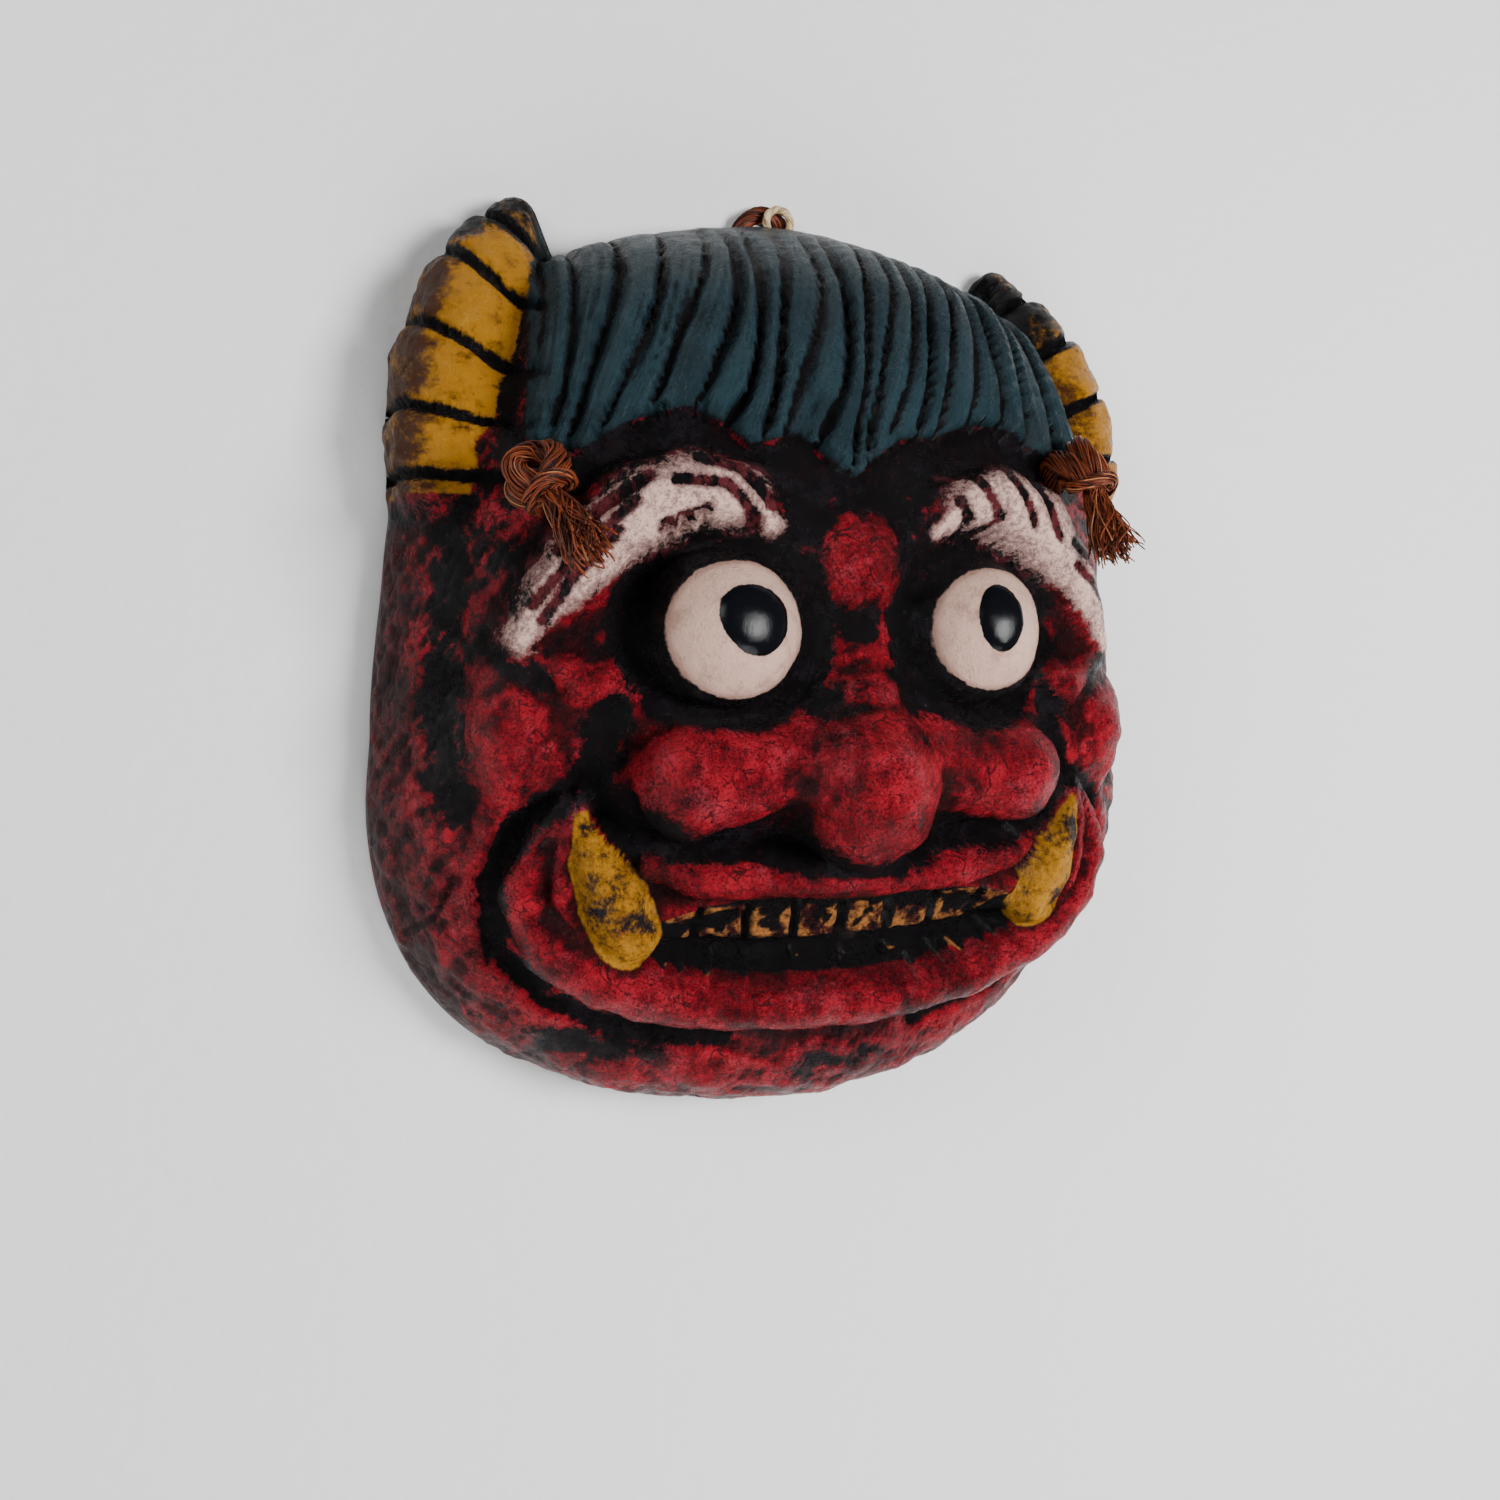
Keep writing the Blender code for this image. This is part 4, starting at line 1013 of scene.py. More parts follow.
@dataclass(frozen=True)
class FibreFinish:
    """A bundle of plant fibres: each one a little lighter or darker than the next."""

    name: str
    dark: tuple
    light: tuple
    stray: tuple

    def dress(self) -> bpy.types.Material:
        """Builds the material, which reads the amount called fibre."""
        bench = Bench(self.name)
        along = bench.noise(330.0, 4.0, 0.7)
        tone = bench.sum(("fibre", 0.75), (along, 0.5))
        colour = bench.blend(bench.step(tone, 0.3, 0.95), self.dark, self.light)
        colour = bench.blend(bench.step("fibre", 0.93, 0.97), colour, self.stray)
        bench.join(colour, bench.shader.inputs["Base Color"])
        bench.join(bench.step(along, 0.1, 0.9, 0.85), bench.shader.inputs["Roughness"])
        bench.shader.inputs["Specular IOR Level"].default_value = 0.2
        bench.bump(bench.noise(1500.0, 3.0, 0.7), 0.00012)
        return bench.material


def mesh_piece(name: str, mesh: bmesh.types.BMesh, material: bpy.types.Material) -> bpy.types.Object:
    """Puts a bmesh into the scene as a piece at the origin.

    Args:
        name: The piece's name.
        mesh: The bmesh, which is used up.
        material: Its finish.

    Returns:
        The new object.
    """
    data = bpy.data.meshes.new(name)
    mesh.to_mesh(data)
    mesh.free()
    made = bpy.data.objects.new(name, data)
    bpy.context.scene.collection.objects.link(made)
    data.materials.append(material)
    return made


def to_origin(piece: bpy.types.Object, sizes: MaskSizes) -> None:
    """Moves a finished piece so that the rim's middle is at the origin, as in the part."""
    piece.data.transform(Matrix.Translation(-Vector(sizes.middle)))


def mesh_points(data: bpy.types.Mesh) -> np.ndarray:
    """A mesh's points as rows."""
    flat = np.empty(3 * len(data.vertices))
    data.vertices.foreach_get("co", flat)
    return flat.reshape(-1, 3)


def carry(data: bpy.types.Mesh, name: str, values: np.ndarray) -> None:
    """Stores an amount on the mesh's points."""
    data.attributes.new(name, "FLOAT", "POINT").data.foreach_set("value", values.astype(np.float32))


@dataclass
class MaskShell:
    """The whole mask, moulded in one piece and painted."""

    sizes: MaskSizes
    carving: Carving
    strokes: Strokes
    cord: CordSizes
    paint: MaskPaint
    face_steps: int = 300
    back_steps: int = 66
    coarser: int = 3
    march_turns: int = 90
    close_enough: float = 3e-5
    smoothed_back: int = 14

    def __post_init__(self) -> None:
        """Makes the field and the map of its paint."""
        self.field = FaceField(self.sizes, self.carving)
        self.map = PaintMap(self.field, self.strokes)

    def march(
        self, start: object, along: np.ndarray, far: np.ndarray, floor: np.ndarray, inset: float, skin: Skin
    ) -> np.ndarray:
        """Moves each point in along its ray to where the field is -inset, or to floor.

        Args:
            start: Where the rays start.
            along: Their ways.
            far: How far out each point begins.
            floor: How far out it stays at least.
            inset: How deep under the surface it stops.
            skin: Which skin it is for.

        Returns:
            How far out each point ends.
        """
        moving = np.arange(len(far))
        for _ in range(self.march_turns):
            value = self.field.leaning(start + far[moving, None] * along[moving], skin) + inset
            step = np.where(value > 0, np.maximum(0.62 * value, 2e-5), 0.5 * value)
            far[moving] = np.maximum(far[moving] - step, floor[moving])
            moving = moving[(np.abs(value) > self.close_enough) & (far[moving] > floor[moving])]
            if not len(moving):
                break
        return far

    def rim_loop(self, inset: float, steps: int) -> list[np.ndarray]:
        """The four sides of the rim, each of steps + 1 points: top, right, bottom and left."""
        angles = np.linspace(-np.pi, np.pi, 1081)[:-1]
        along = np.stack([np.cos(angles), np.sin(angles), np.zeros(len(angles))], axis=1)
        far = np.full(len(angles), 1.4 * max(self.sizes.half_width, self.sizes.half_height))
        skin = Skin.BACK if inset else Skin.RIM
        loop = self.march(0.0, along, far, np.full(len(angles), 0.02), inset, skin)[:, None] * along
        end = self.carving.horn[self.carving.hollow_from if skin == Skin.BACK else 0]
        tip, jaw = math.atan2(end[1], end[0]), math.atan2(-0.098, 0.102)
        corners = [np.pi - tip, tip, jaw, -np.pi - jaw]
        sides = []
        for k, first in enumerate(corners):
            last = corners[(k + 1) % 4]
            if k == 3:
                first += 2.0 * np.pi
            turned = np.linspace(first, last, 700)
            x = np.interp(turned, angles, loop[:, 0], period=2.0 * np.pi)
            y = np.interp(turned, angles, loop[:, 1], period=2.0 * np.pi)
            length = np.concatenate([[0.0], np.cumsum(np.hypot(np.diff(x), np.diff(y)))])
            even = np.linspace(0.0, length[-1], steps + 1)
            sides.append(np.stack([np.interp(even, length, x), np.interp(even, length, y)], axis=1))
        return sides

    @staticmethod
    def crowd(share: np.ndarray) -> np.ndarray:
        """Moves evenly spaced shares towards the middle, where the face stands out."""
        off = 2.0 * share - 1.0
        return 0.5 + 0.5 * (0.74 * off + 0.26 * off**3)

    def rays(self, inset: float, steps: int) -> np.ndarray:
        """Where each ray of a square net crosses the back plane: the net's edge is the rim."""
        top, right, bottom, left = self.rim_loop(inset, steps)
        bottom, left, right = bottom[::-1], left[::-1], right[::-1]
        left = left[::-1] if left[0, 1] > left[-1, 1] else left
        even = np.linspace(0.0, 1.0, steps + 1)
        u = self.crowd(even)[None, :, None]
        v = self.crowd(even)[:, None, None]
        share = self.crowd(even)
        top, right, bottom, left = (
            np.stack([np.interp(share, even, side[:, k]) for k in (0, 1)], axis=1)
            for side in (top, right, bottom, left)
        )
        net = (1 - v) * bottom[None] + v * top[None] + (1 - u) * left[:, None] + u * right[:, None]
        corners = (1 - u) * (1 - v) * bottom[0] + u * (1 - v) * bottom[-1]
        corners = corners + (1 - u) * v * top[0] + u * v * top[-1]
        net = net - corners
        for _ in range(max(20, steps // 3)):
            net[1:-1, 1:-1] = 0.25 * (net[:-2, 1:-1] + net[2:, 1:-1] + net[1:-1, :-2] + net[1:-1, 2:])
        return net

    def reaches(self, net: np.ndarray, inset: float, skin: Skin, begin: np.ndarray | None = None) -> tuple:
        """Each ray through the net's points, and how far out the field is -inset on it.

        Args:
            net: Where the rays cross the back plane.
            inset: How deep under the surface to stop.
            skin: Which skin it is for.
            begin: How far out to begin, or None for well outside.

        Returns:
            Where the rays start, their ways, and how far out each ends.
        """
        start = np.array(self.sizes.rays_from)
        flat = net.reshape(-1, 2)
        along = np.concatenate([flat, np.zeros((len(flat), 1))], axis=1) - start
        reach = np.linalg.norm(along, axis=1)
        along /= reach[:, None]
        if begin is None:
            high = (1.7 * self.sizes.dome_height - start[2]) / along[:, 2]
            begin = np.minimum(high, 2.2 * max(self.sizes.half_width, self.sizes.half_height))
        far = np.maximum(begin.reshape(-1), reach + 0.002)
        far = self.march(start, along, far, reach, inset, skin).reshape(net.shape[:2])
        reach = reach.reshape(far.shape)
        for edge in (np.s_[0, :], np.s_[-1, :], np.s_[:, 0], np.s_[:, -1]):
            far[edge] = reach[edge]
        return start, along, far

    def front(self) -> np.ndarray:
        """The front's points, found on a coarse net first and then on the fine one."""
        net = self.rays(0.0, self.face_steps)
        step = self.coarser
        _, _, rough = self.reaches(net[::step, ::step], 0.0, Skin.FRONT)
        wide = rough.copy()
        near = [np.roll(np.roll(rough, i, axis=0), j, axis=1) for i in (-1, 0, 1) for j in (-1, 0, 1)]
        wide[1:-1, 1:-1] = np.max(near, axis=0)[1:-1, 1:-1]
        count = self.face_steps + 1
        fine, coarse = np.arange(count), np.arange(0, count, step)
        rows = np.stack([np.interp(fine, coarse, row) for row in wide])
        begin = np.stack([np.interp(fine, coarse, rows[:, k]) for k in range(count)], axis=1) + 0.003
        start, along, far = self.reaches(net, 0.0, Skin.FRONT, begin)
        points = start + far.reshape(-1)[:, None] * along
        return self.detailed(points.reshape(count, count, 3))

    def detailed(self, net: np.ndarray) -> np.ndarray:
        """Moves the front's points along their normals by the finest carving."""
        across = np.gradient(net, axis=1)
        up = np.gradient(net, axis=0)
        out = np.cross(across, up)
        out /= np.maximum(np.linalg.norm(out, axis=2, keepdims=True), 1e-12)
        flat = net.reshape(-1, 3)
        moved = flat + self.map.detail(self.field.lean(flat)[0])[:, None] * out.reshape(-1, 3)
        moved[:, 2] = np.maximum(moved[:, 2], np.minimum(flat[:, 2], 0.0004))
        moved = moved.reshape(net.shape)
        for edge in (np.s_[0, :], np.s_[-1, :], np.s_[:, 0], np.s_[:, -1]):
            moved[edge] = net[edge]
        return moved.reshape(-1, 3)

    def back(self) -> np.ndarray:
        """The back's points, a wall's thickness behind the deepest of what is near each."""
        wall = self.sizes.wall
        start, along, far = self.reaches(self.rays(wall, self.back_steps), wall, Skin.BACK)
        inner = np.s_[1:-1, 1:-1]
        steps = len(far)
        near = [far[i : steps - 2 + i, j : steps - 2 + j] for i in range(3) for j in range(3)]
        far[inner] = np.min(near, axis=0)
        for _ in range(self.smoothed_back):
            near = 0.25 * (far[:-2, 1:-1] + far[2:, 1:-1] + far[1:-1, :-2] + far[1:-1, 2:])
            far[inner] = np.minimum(far[inner], 0.5 * far[inner] + 0.5 * near)
        return start + far.reshape(-1)[:, None] * along

    @staticmethod
    def net_mesh(points: np.ndarray, steps: int) -> bpy.types.Mesh:
        """A grid with its corners moved to these points."""
        grid = bmesh.new()
        bmesh.ops.create_grid(grid, x_segments=steps, y_segments=steps, size=1.0)
        data = bpy.data.meshes.new("net")
        grid.to_mesh(data)
        grid.free()
        flat = mesh_points(data)
        order = np.lexsort((np.round(flat[:, 0], 6), np.round(flat[:, 1], 6)))
        placed = np.empty_like(flat)
        placed[order] = points
        data.vertices.foreach_set("co", placed.reshape(-1))
        return data

    def cutters(self) -> list[bpy.types.Object]:
        """The holes for the cord through the temples, and the slot for its loop in the rim."""
        route = CordRoute(self.cord, self.field)
        made = []
        for hand in (-1.0, 1.0):
            place, out = route.temple(hand)
            hole = bmesh.new()
            radius = (self.cord.diameter + self.cord.hole_clearance) / 2.0
            bmesh.ops.create_cone(
                hole, cap_ends=True, segments=28, radius1=radius, radius2=radius, depth=0.027
            )
            turn = Vector(out).to_track_quat("Z", "Y").to_matrix().to_4x4()
            bmesh.ops.transform(hole, matrix=Matrix.Translation(place) @ turn, verts=hole.verts[:])
            made.append(mesh_piece("hole_cutter", hole, self.material))
        slot = bmesh.new()
        bmesh.ops.create_cube(slot, size=1.0)
        top = self.cord.route[0][2] + self.cord.diameter / 2.0 + self.cord.gap
        top += self.cord.ring_thickness + self.cord.slot_clearance
        size = Matrix.Diagonal((self.cord.slot_width, 6.0 * self.sizes.wall, 2.0 * top, 1.0))
        bmesh.ops.transform(slot, matrix=size, verts=slot.verts[:])
        upper = [e for e in slot.edges if all(v.co.z > 0 for v in e.verts)]
        upper = [e for e in upper if abs(e.verts[0].co.y - e.verts[1].co.y) > self.sizes.wall]
        bmesh.ops.bevel(
            slot, geom=upper, offset=0.002, segments=4, profile=0.5, affect="EDGES", material=-1
        )
        place = (self.cord.loop_shift, self.sizes.half_height, 0.0)
        bmesh.ops.translate(slot, vec=place, verts=slot.verts[:])
        made.append(mesh_piece("slot_cutter", slot, self.material))
        return made

    def closed(self) -> bpy.types.Object:
        """The front, the back and the rim between them as one closed piece, with its holes cut."""
        mesh = bmesh.new()
        mesh.from_mesh(self.net_mesh(self.front(), self.face_steps))
        behind = bmesh.new()
        behind.from_mesh(self.net_mesh(self.back(), self.back_steps))
        bmesh.ops.reverse_faces(behind, faces=behind.faces[:])
        data = bpy.data.meshes.new("behind")
        behind.to_mesh(data)
        behind.free()
        mesh.from_mesh(data)
        rim = [edge for edge in mesh.edges if edge.is_boundary]
        bmesh.ops.triangle_fill(mesh, edges=rim, use_beauty=True, normal=(0.0, 0.0, -1.0))
        bmesh.ops.recalc_face_normals(mesh, faces=mesh.faces[:])
        shell = mesh_piece("painted_mask", mesh, self.material)
        cutters = self.cutters()
        for cutter in cutters:
            cut = shell.modifiers.new(cutter.name, "BOOLEAN")
            cut.operation = "DIFFERENCE"
            cut.solver = "EXACT"
            cut.object = cutter
        bpy.context.view_layer.update()
        graph = bpy.context.evaluated_depsgraph_get()
        done = bpy.data.meshes.new_from_object(shell.evaluated_get(graph))
        shell.modifiers.clear()
        shell.data = done
        for cutter in cutters:
            bpy.data.objects.remove(cutter)
        return shell

    def ridges(self, data: bpy.types.Mesh, points: np.ndarray) -> np.ndarray:
        """How far each point stands out of its surroundings, in about tenths of a millimetre.

        Args:
            data: The shell's mesh.
            points: Its points.

        Returns:
            Positive on ridges and negative in grooves, from -1.5 to 1.5.
        """
        ends = np.empty(2 * len(data.edges), int)
        data.edges.foreach_get("vertices", ends)
        ends = ends.reshape(-1, 2)
        count = np.bincount(ends.reshape(-1), minlength=len(points))[:, None]
        out = np.empty(3 * len(points))
        data.vertices.foreach_get("normal", out)
        out = out.reshape(-1, 3)
        smooth = points.copy()
        total = np.zeros(len(points))
        for turn in range(1, 61):
            near = np.zeros_like(smooth)
            for k in range(3):
                near[:, k] = np.bincount(ends[:, 0], smooth[ends[:, 1], k], len(points))
                near[:, k] += np.bincount(ends[:, 1], smooth[ends[:, 0], k], len(points))
            smooth = near / np.maximum(count, 1)
            if turn in (6, 60):
                stands = ((points - smooth) * out).sum(axis=1)
                total += stands * (9000.0 if turn == 6 else 1800.0)
        return np.clip(total, -1.5, 1.5)

    def build(self) -> bpy.types.Object:
        """Builds the shell and paints it.

        Returns:
            The painted shell, which replaces the CAD node.
        """
        self.material = self.paint.dress()
        shell = self.closed()
        data = shell.data
        points = mesh_points(data)
        for name, values in self.map.amounts(self.field.lean(points)[0]).items():
            carry(data, name, values)
        carry(data, "ridge", self.ridges(data, points))
        data.polygons.foreach_set("use_smooth", np.ones(len(data.polygons), bool))
        to_origin(shell, self.sizes)
        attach(shell, "root")
        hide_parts("mask_shell")
        return shell


@dataclass
class CordRoute:
    """The way of the cord, from the left knot round the loop to the right one."""

    sizes: CordSizes
    field: FaceField
    points: int = 200

    def end(self, hand: float) -> tuple:
        """This end's temple and tuft, as the sizes give them."""
        return self.sizes.left_end if hand < 0 else self.sizes.right_end

    def temple(self, hand: float) -> tuple[np.ndarray, np.ndarray]:
        """Where this end of the cord leaves the shell, and the way out of it there."""
        x, y = self.end(hand)[0]
        place = np.array([[hand * x, y, 0.0]])
        even = self.field.lean(place)[0]
        place = place[0] + [0.0, 0.0, self.field.dome_height(even[:, 0], even[:, 1])[0]]
        value = self.field.dome(self.field.lean(place + 1e-4 * np.concatenate([np.eye(3), -np.eye(3)]))[0])
        out = value[:3] - value[3:]
        return place, out / np.linalg.norm(out)

    def knot(self, hand: float) -> tuple[np.ndarray, np.ndarray]:
        """The middle of this end's knot, and the tip of its tuft."""
        place, out = self.temple(hand)
        knot = place + (self.sizes.knot_radius + 2.0 * self.sizes.gap) * out
        turn = np.array(self.end(hand)[1]) * np.array([hand, 1.0, 1.0])
        return knot, knot + turn * self.sizes.tuft_length / np.linalg.norm(turn)

    def side(self, hand: float) -> list[np.ndarray]:
        """The cord's points from its middle over the crown to this end's knot."""
        shift = np.array([self.sizes.loop_shift, 0.0, 0.0])
        loop = [np.array([hand * x, y, z]) + shift for x, y, z in self.sizes.route[:4]]
        hidden = [np.array([hand * x, y, z]) for x, y, z in self.sizes.route[4:]]
        place, out = self.temple(hand)
        return [*loop, *hidden, place - 0.01 * out, place, self.knot(hand)[0]]

    def line(self) -> np.ndarray:
        """Evenly spaced points along the whole cord."""
        return smooth_line([*self.side(-1.0)[:0:-1], *self.side(1.0)], self.points)


def smooth_line(points: list, count: int) -> np.ndarray:
    """Evenly spaced points on the cubic that runs through these points."""
    points = np.array(points)
    points = np.concatenate([[2 * points[0] - points[1]], points, [2 * points[-1] - points[-2]]])
    fine = []
    for a, b, c, d in zip(points, points[1:], points[2:], points[3:]):
        for t in np.linspace(0.0, 1.0, 24, endpoint=False):
            fine.append(b + 0.5 * t * (c - a + t * (2 * a - 5 * b + 4 * c - d + t * (3 * (b - c) + d - a))))
    fine = np.array([*fine, points[-2]])
    length = np.concatenate([[0.0], np.cumsum(np.linalg.norm(np.diff(fine, axis=0), axis=1))])
    even = np.linspace(0.0, length[-1], count)
    return np.stack([np.interp(even, length, fine[:, k]) for k in range(3)], axis=1)


class FibreBundle:
    """Many thin fibres that follow one line, gathered into one mesh."""

    def __init__(self, seed: int, thickness: float = 0.00036) -> None:
        """Starts an empty bundle."""
        self.dice = np.random.default_rng(seed)
        self.thickness = thickness
        self.lines: list[np.ndarray] = []
        self.tones: list[float] = []

    def lay(
        self, line: np.ndarray, radius: np.ndarray, count: int, twist: float, stray: float = 0.0
    ) -> None:
        """Adds fibres round a line.

        Args:
            line: The points that the bundle follows.
            radius: How far the outer fibres are from it at each point.
            count: How many fibres.
            twist: Their turns round the line, from end to end.
            stray: How far each one wanders, in metres.
        """
        ahead = np.gradient(line, axis=0)
        ahead /= np.linalg.norm(ahead, axis=1, keepdims=True)
        side = np.zeros_like(line)
        side[0] = np.cross(ahead[0], (0.3, 0.2, 0.93))
        for k in range(1, len(line)):
            side[k] = side[k - 1] - ahead[k] * (side[k - 1] @ ahead[k])
            side[k] /= np.linalg.norm(side[k])
        side[0] /= np.linalg.norm(side[0])
        up = np.cross(ahead, side)
        way = np.linspace(0.0, 1.0, len(line))
        for _ in range(count):
            out = math.sqrt(self.dice.uniform(0.12, 1.0))
            angle = self.dice.uniform(0.0, 2.0 * np.pi) + 2.0 * np.pi * twist * way
            angle = angle + 0.5 * np.sin(self.dice.uniform(3.0, 9.0) * way + self.dice.uniform(0.0, 6.28))
            swell = np.sin(self.dice.uniform(4.0, 12.0) * way + self.dice.uniform(0.0, 6.28))
            reach = out * radius * (1.0 + 0.12 * swell)
            drift = stray * way[:, None] ** 2 * self.dice.normal(size=3)
            around = np.cos(angle)[:, None] * side + np.sin(angle)[:, None] * up
            made = line + reach[:, None] * around + drift
            keep = len(line) if not stray else int(len(line) * self.dice.uniform(0.72, 1.0))
            self.lines.append(made[: max(4, keep)])
            self.tones.append(self.dice.uniform(0.0, 1.0))

    def build(self, name: str, material: bpy.types.Material) -> bpy.types.Object:
        """Makes the fibres one mesh of thin closed tubes.

        Args:
            name: The piece's name.
            material: Its finish.

        Returns:
            The piece, whose points carry each fibre's tone.
        """
        curve = bpy.data.curves.new(name, "CURVE")
        curve.dimensions = "3D"
        curve.bevel_depth = self.thickness / 2.0
        curve.bevel_resolution = 0
        curve.use_fill_caps = True
        for line in self.lines:
            spline = curve.splines.new("POLY")
            spline.points.add(len(line) - 1)
            flat = np.concatenate([line, np.ones((len(line), 1))], axis=1)
            spline.points.foreach_set("co", flat.reshape(-1))
        guide = bpy.data.objects.new(name + "_guide", curve)
        bpy.context.scene.collection.objects.link(guide)
        bpy.context.view_layer.update()
        graph = bpy.context.evaluated_depsgraph_get()
        data = bpy.data.meshes.new_from_object(guide.evaluated_get(graph))
        bpy.data.objects.remove(guide)
        mesh = bmesh.new()
        mesh.from_mesh(data)
        bmesh.ops.remove_doubles(mesh, verts=mesh.verts[:], dist=1e-7)
        bmesh.ops.recalc_face_normals(mesh, faces=mesh.faces[:])
        made = mesh_piece(name, mesh, material)
        made.data.polygons.foreach_set("use_smooth", np.ones(len(made.data.polygons), bool))
        carry(made.data, "fibre", self.tone_of(mesh_points(made.data)))
        return made

    def tone_of(self, points: np.ndarray) -> np.ndarray:
        """The tone of the fibre that each point belongs to."""
        total = sum(len(line) for line in self.lines)
        tree = KDTree(total)
        tones = np.concatenate([np.full(len(line), tone) for line, tone in zip(self.lines, self.tones)])
        for k, place in enumerate(np.concatenate(self.lines)):
            tree.insert(place, k)
        tree.balance()
        return np.array([tones[tree.find(point)[1]] for point in points])


@dataclass
class HangingCord:
    """The reddish-brown fibre cord, with a knot and a frayed tuft at each end."""

    sizes: CordSizes
    field: FaceField
    finish: FibreFinish

    def tube(self, line: np.ndarray) -> bpy.types.Object:
        """The cord between its knots, of twisted fibres."""
        bundle = FibreBundle(11, 0.00085)
        radius = np.full(len(line), self.sizes.diameter / 2.0 - 0.0002)
        bundle.lay(line, radius, 46, 9.0)
        for k in range(len(bundle.lines)):
            middle = bundle.lines[k] - line
            reach = np.linalg.norm(middle, axis=1, keepdims=True)
            bundle.lines[k] = line + middle / reach * np.maximum(reach, 0.84 * radius[0])
        return bundle.build("fibre_cord", self.material)

    def knot(self, hand: float, route: CordRoute) -> bpy.types.Object:
        """One knot: the bundle turned round an opening and over its own tuft.

        Args:
            hand: -1 for the left knot and 1 for the right one.
            route: The cord's way.

        Returns:
            The knot with its tuft.
        """
        middle, tip = route.knot(hand)
        place, out = route.temple(hand)
        down = tip - middle
        down /= np.linalg.norm(down)
        side = np.cross(out, down)
        side /= np.linalg.norm(side)
        face = np.cross(down, side)
        size = 1.24 * self.sizes.knot_radius
        bundle = FibreBundle(21 if hand < 0 else 22, 0.00044)

        def at(a: float, b: float, c: float) -> np.ndarray:
            """A place in the knot: across it, down its tuft and out of the mask."""
            return middle + size * (a * side + b * down + c * face)

        turns = (
            (0.0, -0.1, -0.95), (-0.45, -0.55, -0.35), (-0.62, -0.05, 0.1), (-0.25, 0.5, 0.32),
            (0.35, 0.42, 0.42), (0.66, -0.1, 0.25), (0.3, -0.62, 0.2), (-0.25, -0.58, 0.42),
            (-0.3, 0.05, 0.6), (0.02, 0.62, 0.5),
        )
        over = (
            (-0.55, 0.42, -0.2), (-0.5, 0.62, 0.35), (0.05, 0.66, 0.74), (0.55, 0.6, 0.3),
            (0.52, 0.42, -0.25),
        )
        loop = smooth_line([at(*turn) for turn in turns], 60)
        bundle.lay(loop, np.full(60, 0.31 * size), 120, 1.6)
        wrap = smooth_line([at(*turn) for turn in over], 30)
        bundle.lay(wrap, np.full(30, 0.19 * size), 60, 0.7)
        reach = np.linalg.norm(tip - middle)
        end = middle + 1.1 * (tip - middle)
        bend = middle + 0.45 * reach * down + 0.1 * size * face
        tail = smooth_line([at(0.0, 0.35, 0.35), bend, end], 26)
        way = np.linspace(0.0, 1.0, 26)
        bundle.lay(tail, 0.0026 + 0.0036 * way**1.3, 250, 0.25, 0.0016)
        return bundle.build("left_knot" if hand < 0 else "right_knot", self.material)

    def build(self) -> list[bpy.types.Object]:
        """Returns:
            The cord, the left knot and the right knot.
        """
        self.material = self.finish.dress()
        route = CordRoute(self.sizes, self.field)
        line = route.line()
        cord = self.tube(line)
        knots = [self.knot(-1.0, route), self.knot(1.0, route)]
        for piece in (cord, *knots):
            to_origin(piece, self.field.sizes)
            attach(piece, "root")
            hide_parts("hanging_cord")
        line = line - np.array(self.field.sizes.middle)
        length = float(np.linalg.norm(np.diff(line, axis=0), axis=1).sum())
        return [cord, *knots]


@dataclass
class HangingRing:
    """The small ring of pale fibre, wound round itself, that lies on the loop."""

    sizes: CordSizes
    mask: MaskSizes
    finish: FibreFinish

    def build(self) -> bpy.types.Object:
        """Builds the ring.

        Returns:
            The ring, which replaces the CAD node.
        """
        material = self.finish.dress()
        height = self.sizes.route[0][2] + self.sizes.diameter / 2.0 + self.sizes.gap
        height += self.sizes.ring_thickness / 2.0
        turn = np.linspace(0.0, 2.0 * np.pi, 97)
        bundle = FibreBundle(31, 0.00042)
        centre = np.array([self.sizes.ring_place[0], self.sizes.ring_place[1], height])
        for k in range(26):
            phase = 2.0 * np.pi * k / 26.0
            around = phase + 3.0 * turn
            wide = 0.82 * self.sizes.ring_thickness / 2.0
            reach = self.sizes.ring_radius + wide * np.cos(around) * (1.0 + 0.1 * np.sin(5.0 * turn + k))
            rise = wide * np.sin(around)
            wound = np.stack([reach * np.cos(turn), reach * np.sin(turn), rise], axis=1)
            bundle.lines.append(centre + wound)
            bundle.tones.append(float(bundle.dice.uniform(0.0, 0.9)))
        ring = bundle.build("pale_ring", material)
        to_origin(ring, self.mask)
        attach(ring, "root")
        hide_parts("hanging_ring")
        return ring


@dataclass(frozen=True)
class FloorFinish:
    """Plain pale grey plaster."""

    pale: tuple = (0.74, 0.74, 0.74)

    def dress(self) -> bpy.types.Material:
        """Builds the material."""
        bench = Bench("pale_floor")
        bench.shader.inputs["Base Color"].default_value = (*self.pale, 1.0)
        bench.shader.inputs["Roughness"].default_value = 0.85
        bench.bump(bench.noise(160.0, 3.0, 0.5), 0.0008, 0.6)
        return bench.material


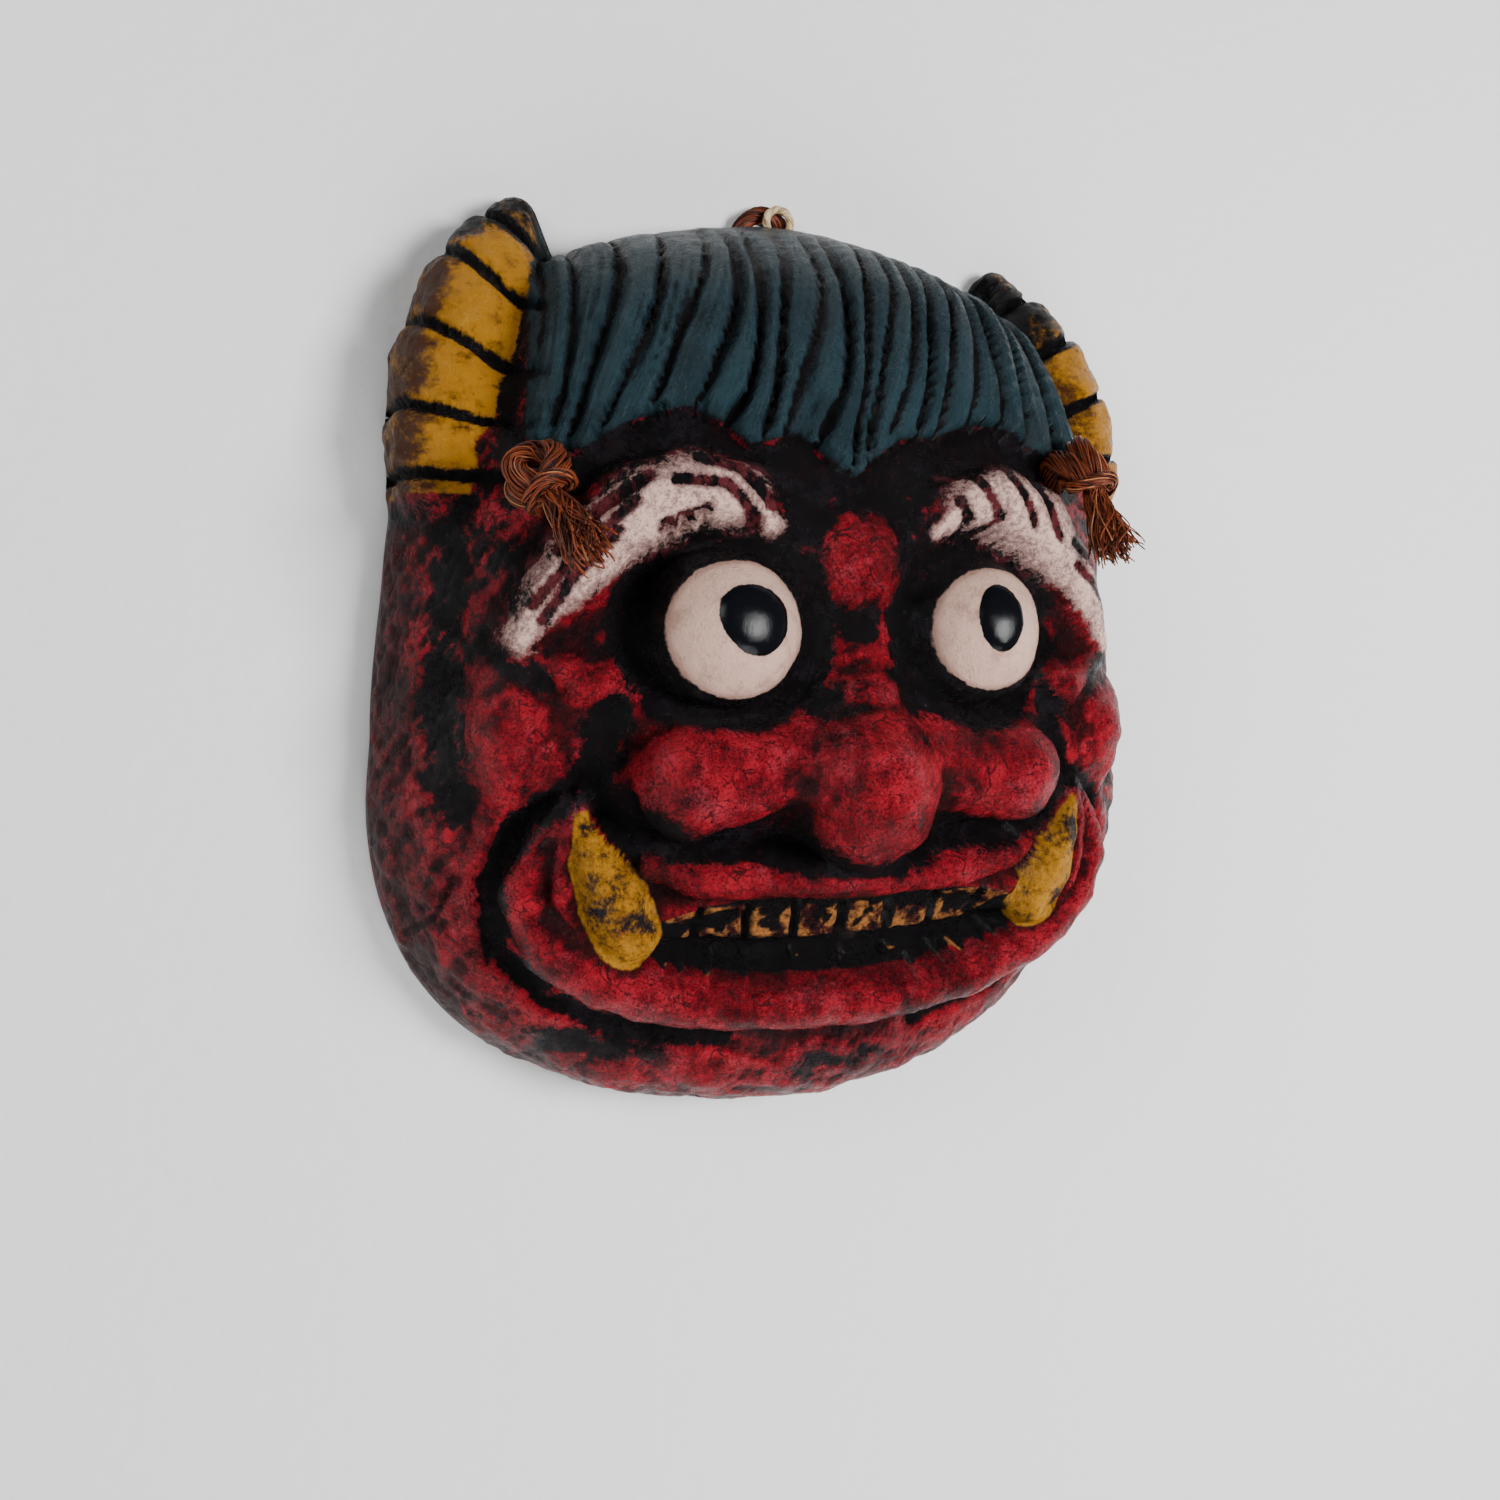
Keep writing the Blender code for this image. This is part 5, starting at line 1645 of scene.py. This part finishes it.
@dataclass
class Studio:
    """The floor, the lights and the camera."""

    floor: FloorFinish
    place: tuple = (-0.155, -0.0038, 0.4216)
    turn: tuple = (20.0, 2.8, 0.2)
    aim: tuple = (0.0, 0.0, 0.03)

    def camera(self) -> None:
        """Sets the camera at the photograph's viewing angle, looking down on the lying mask."""
        about_y, about_x, about_z = (math.radians(angle) for angle in self.turn)
        turned = Matrix.Rotation(about_z, 3, "Z") @ Matrix.Rotation(about_x, 3, "X")
        turned = turned @ Matrix.Rotation(about_y, 3, "Y")
        data = bpy.data.cameras.new("camera")
        data.sensor_width = 36.0
        data.lens = 36.0
        data.clip_start = 0.01
        made = bpy.data.objects.new("camera", data)
        made.matrix_world = Matrix.Translation(self.place) @ turned.transposed().to_4x4()
        bpy.context.scene.collection.objects.link(made)
        bpy.context.scene.camera = made

    def light(self, name: str, place: tuple, size: float, power: float) -> None:
        """Adds one soft light, turned to the mask.

        Args:
            name: Its name.
            place: Where it hangs.
            size: The side of its square.
            power: Its power in watts.
        """
        data = bpy.data.lights.new(name, "AREA")
        data.size = size
        data.energy = power
        made = bpy.data.objects.new(name, data)
        way = Vector(self.aim) - Vector(place)
        made.matrix_world = Matrix.Translation(place) @ way.to_track_quat("-Z", "Y").to_matrix().to_4x4()
        bpy.context.scene.collection.objects.link(made)

    def build(self) -> None:
        """Builds the floor, the lights and the camera."""
        mesh = bmesh.new()
        bmesh.ops.create_grid(mesh, x_segments=8, y_segments=8, size=2.5)
        floor = mesh_piece("floor", mesh, self.floor.dress())
        floor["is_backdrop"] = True
        world = bpy.data.worlds.new("studio")
        world.use_nodes = True
        world.node_tree.nodes["Background"].inputs["Color"].default_value = (1.0, 1.0, 1.0, 1.0)
        world.node_tree.nodes["Background"].inputs["Strength"].default_value = 0.07
        bpy.context.scene.world = world
        self.light("key", (0.55, 0.05, 0.95), 0.4, 20.0)
        self.light("fill", (-0.85, 0.45, 0.75), 0.55, 8.0)
        self.light("low", (0.1, -0.95, 0.7), 0.7, 12.5)
        self.camera()


def main() -> None:
    """Builds every piece in order and says what each one holds."""
    logging.basicConfig(level=logging.INFO, format="%(name)s: %(message)s")
    cord_sizes = CordSizes()
    shell = MaskShell(MaskSizes(), Carving(), Strokes(), cord_sizes, MaskPaint())
    brown = FibreFinish("brown_fibre", (0.024, 0.004, 0.0014), (0.2, 0.04, 0.012), (0.34, 0.13, 0.05))
    pale = FibreFinish("pale_thread", (0.3, 0.2, 0.1), (0.66, 0.52, 0.32), (0.7, 0.6, 0.42))
    Studio(FloorFinish()).build()
    made = HangingCord(cord_sizes, shell.field, brown).build()
    made.append(HangingRing(cord_sizes, shell.sizes, pale).build())
    made.append(shell.build())
    for piece in made:
        piece.data.calc_loop_triangles()
        LOG.info("%s: %d triangles", piece.name, len(piece.data.loop_triangles))


if __name__ == "__main__":
    main()
    boxes = {"cad": CAD_BOX, "visual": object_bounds()}
    boxes = {name: [list(corner) for corner in box] for name, box in boxes.items()}
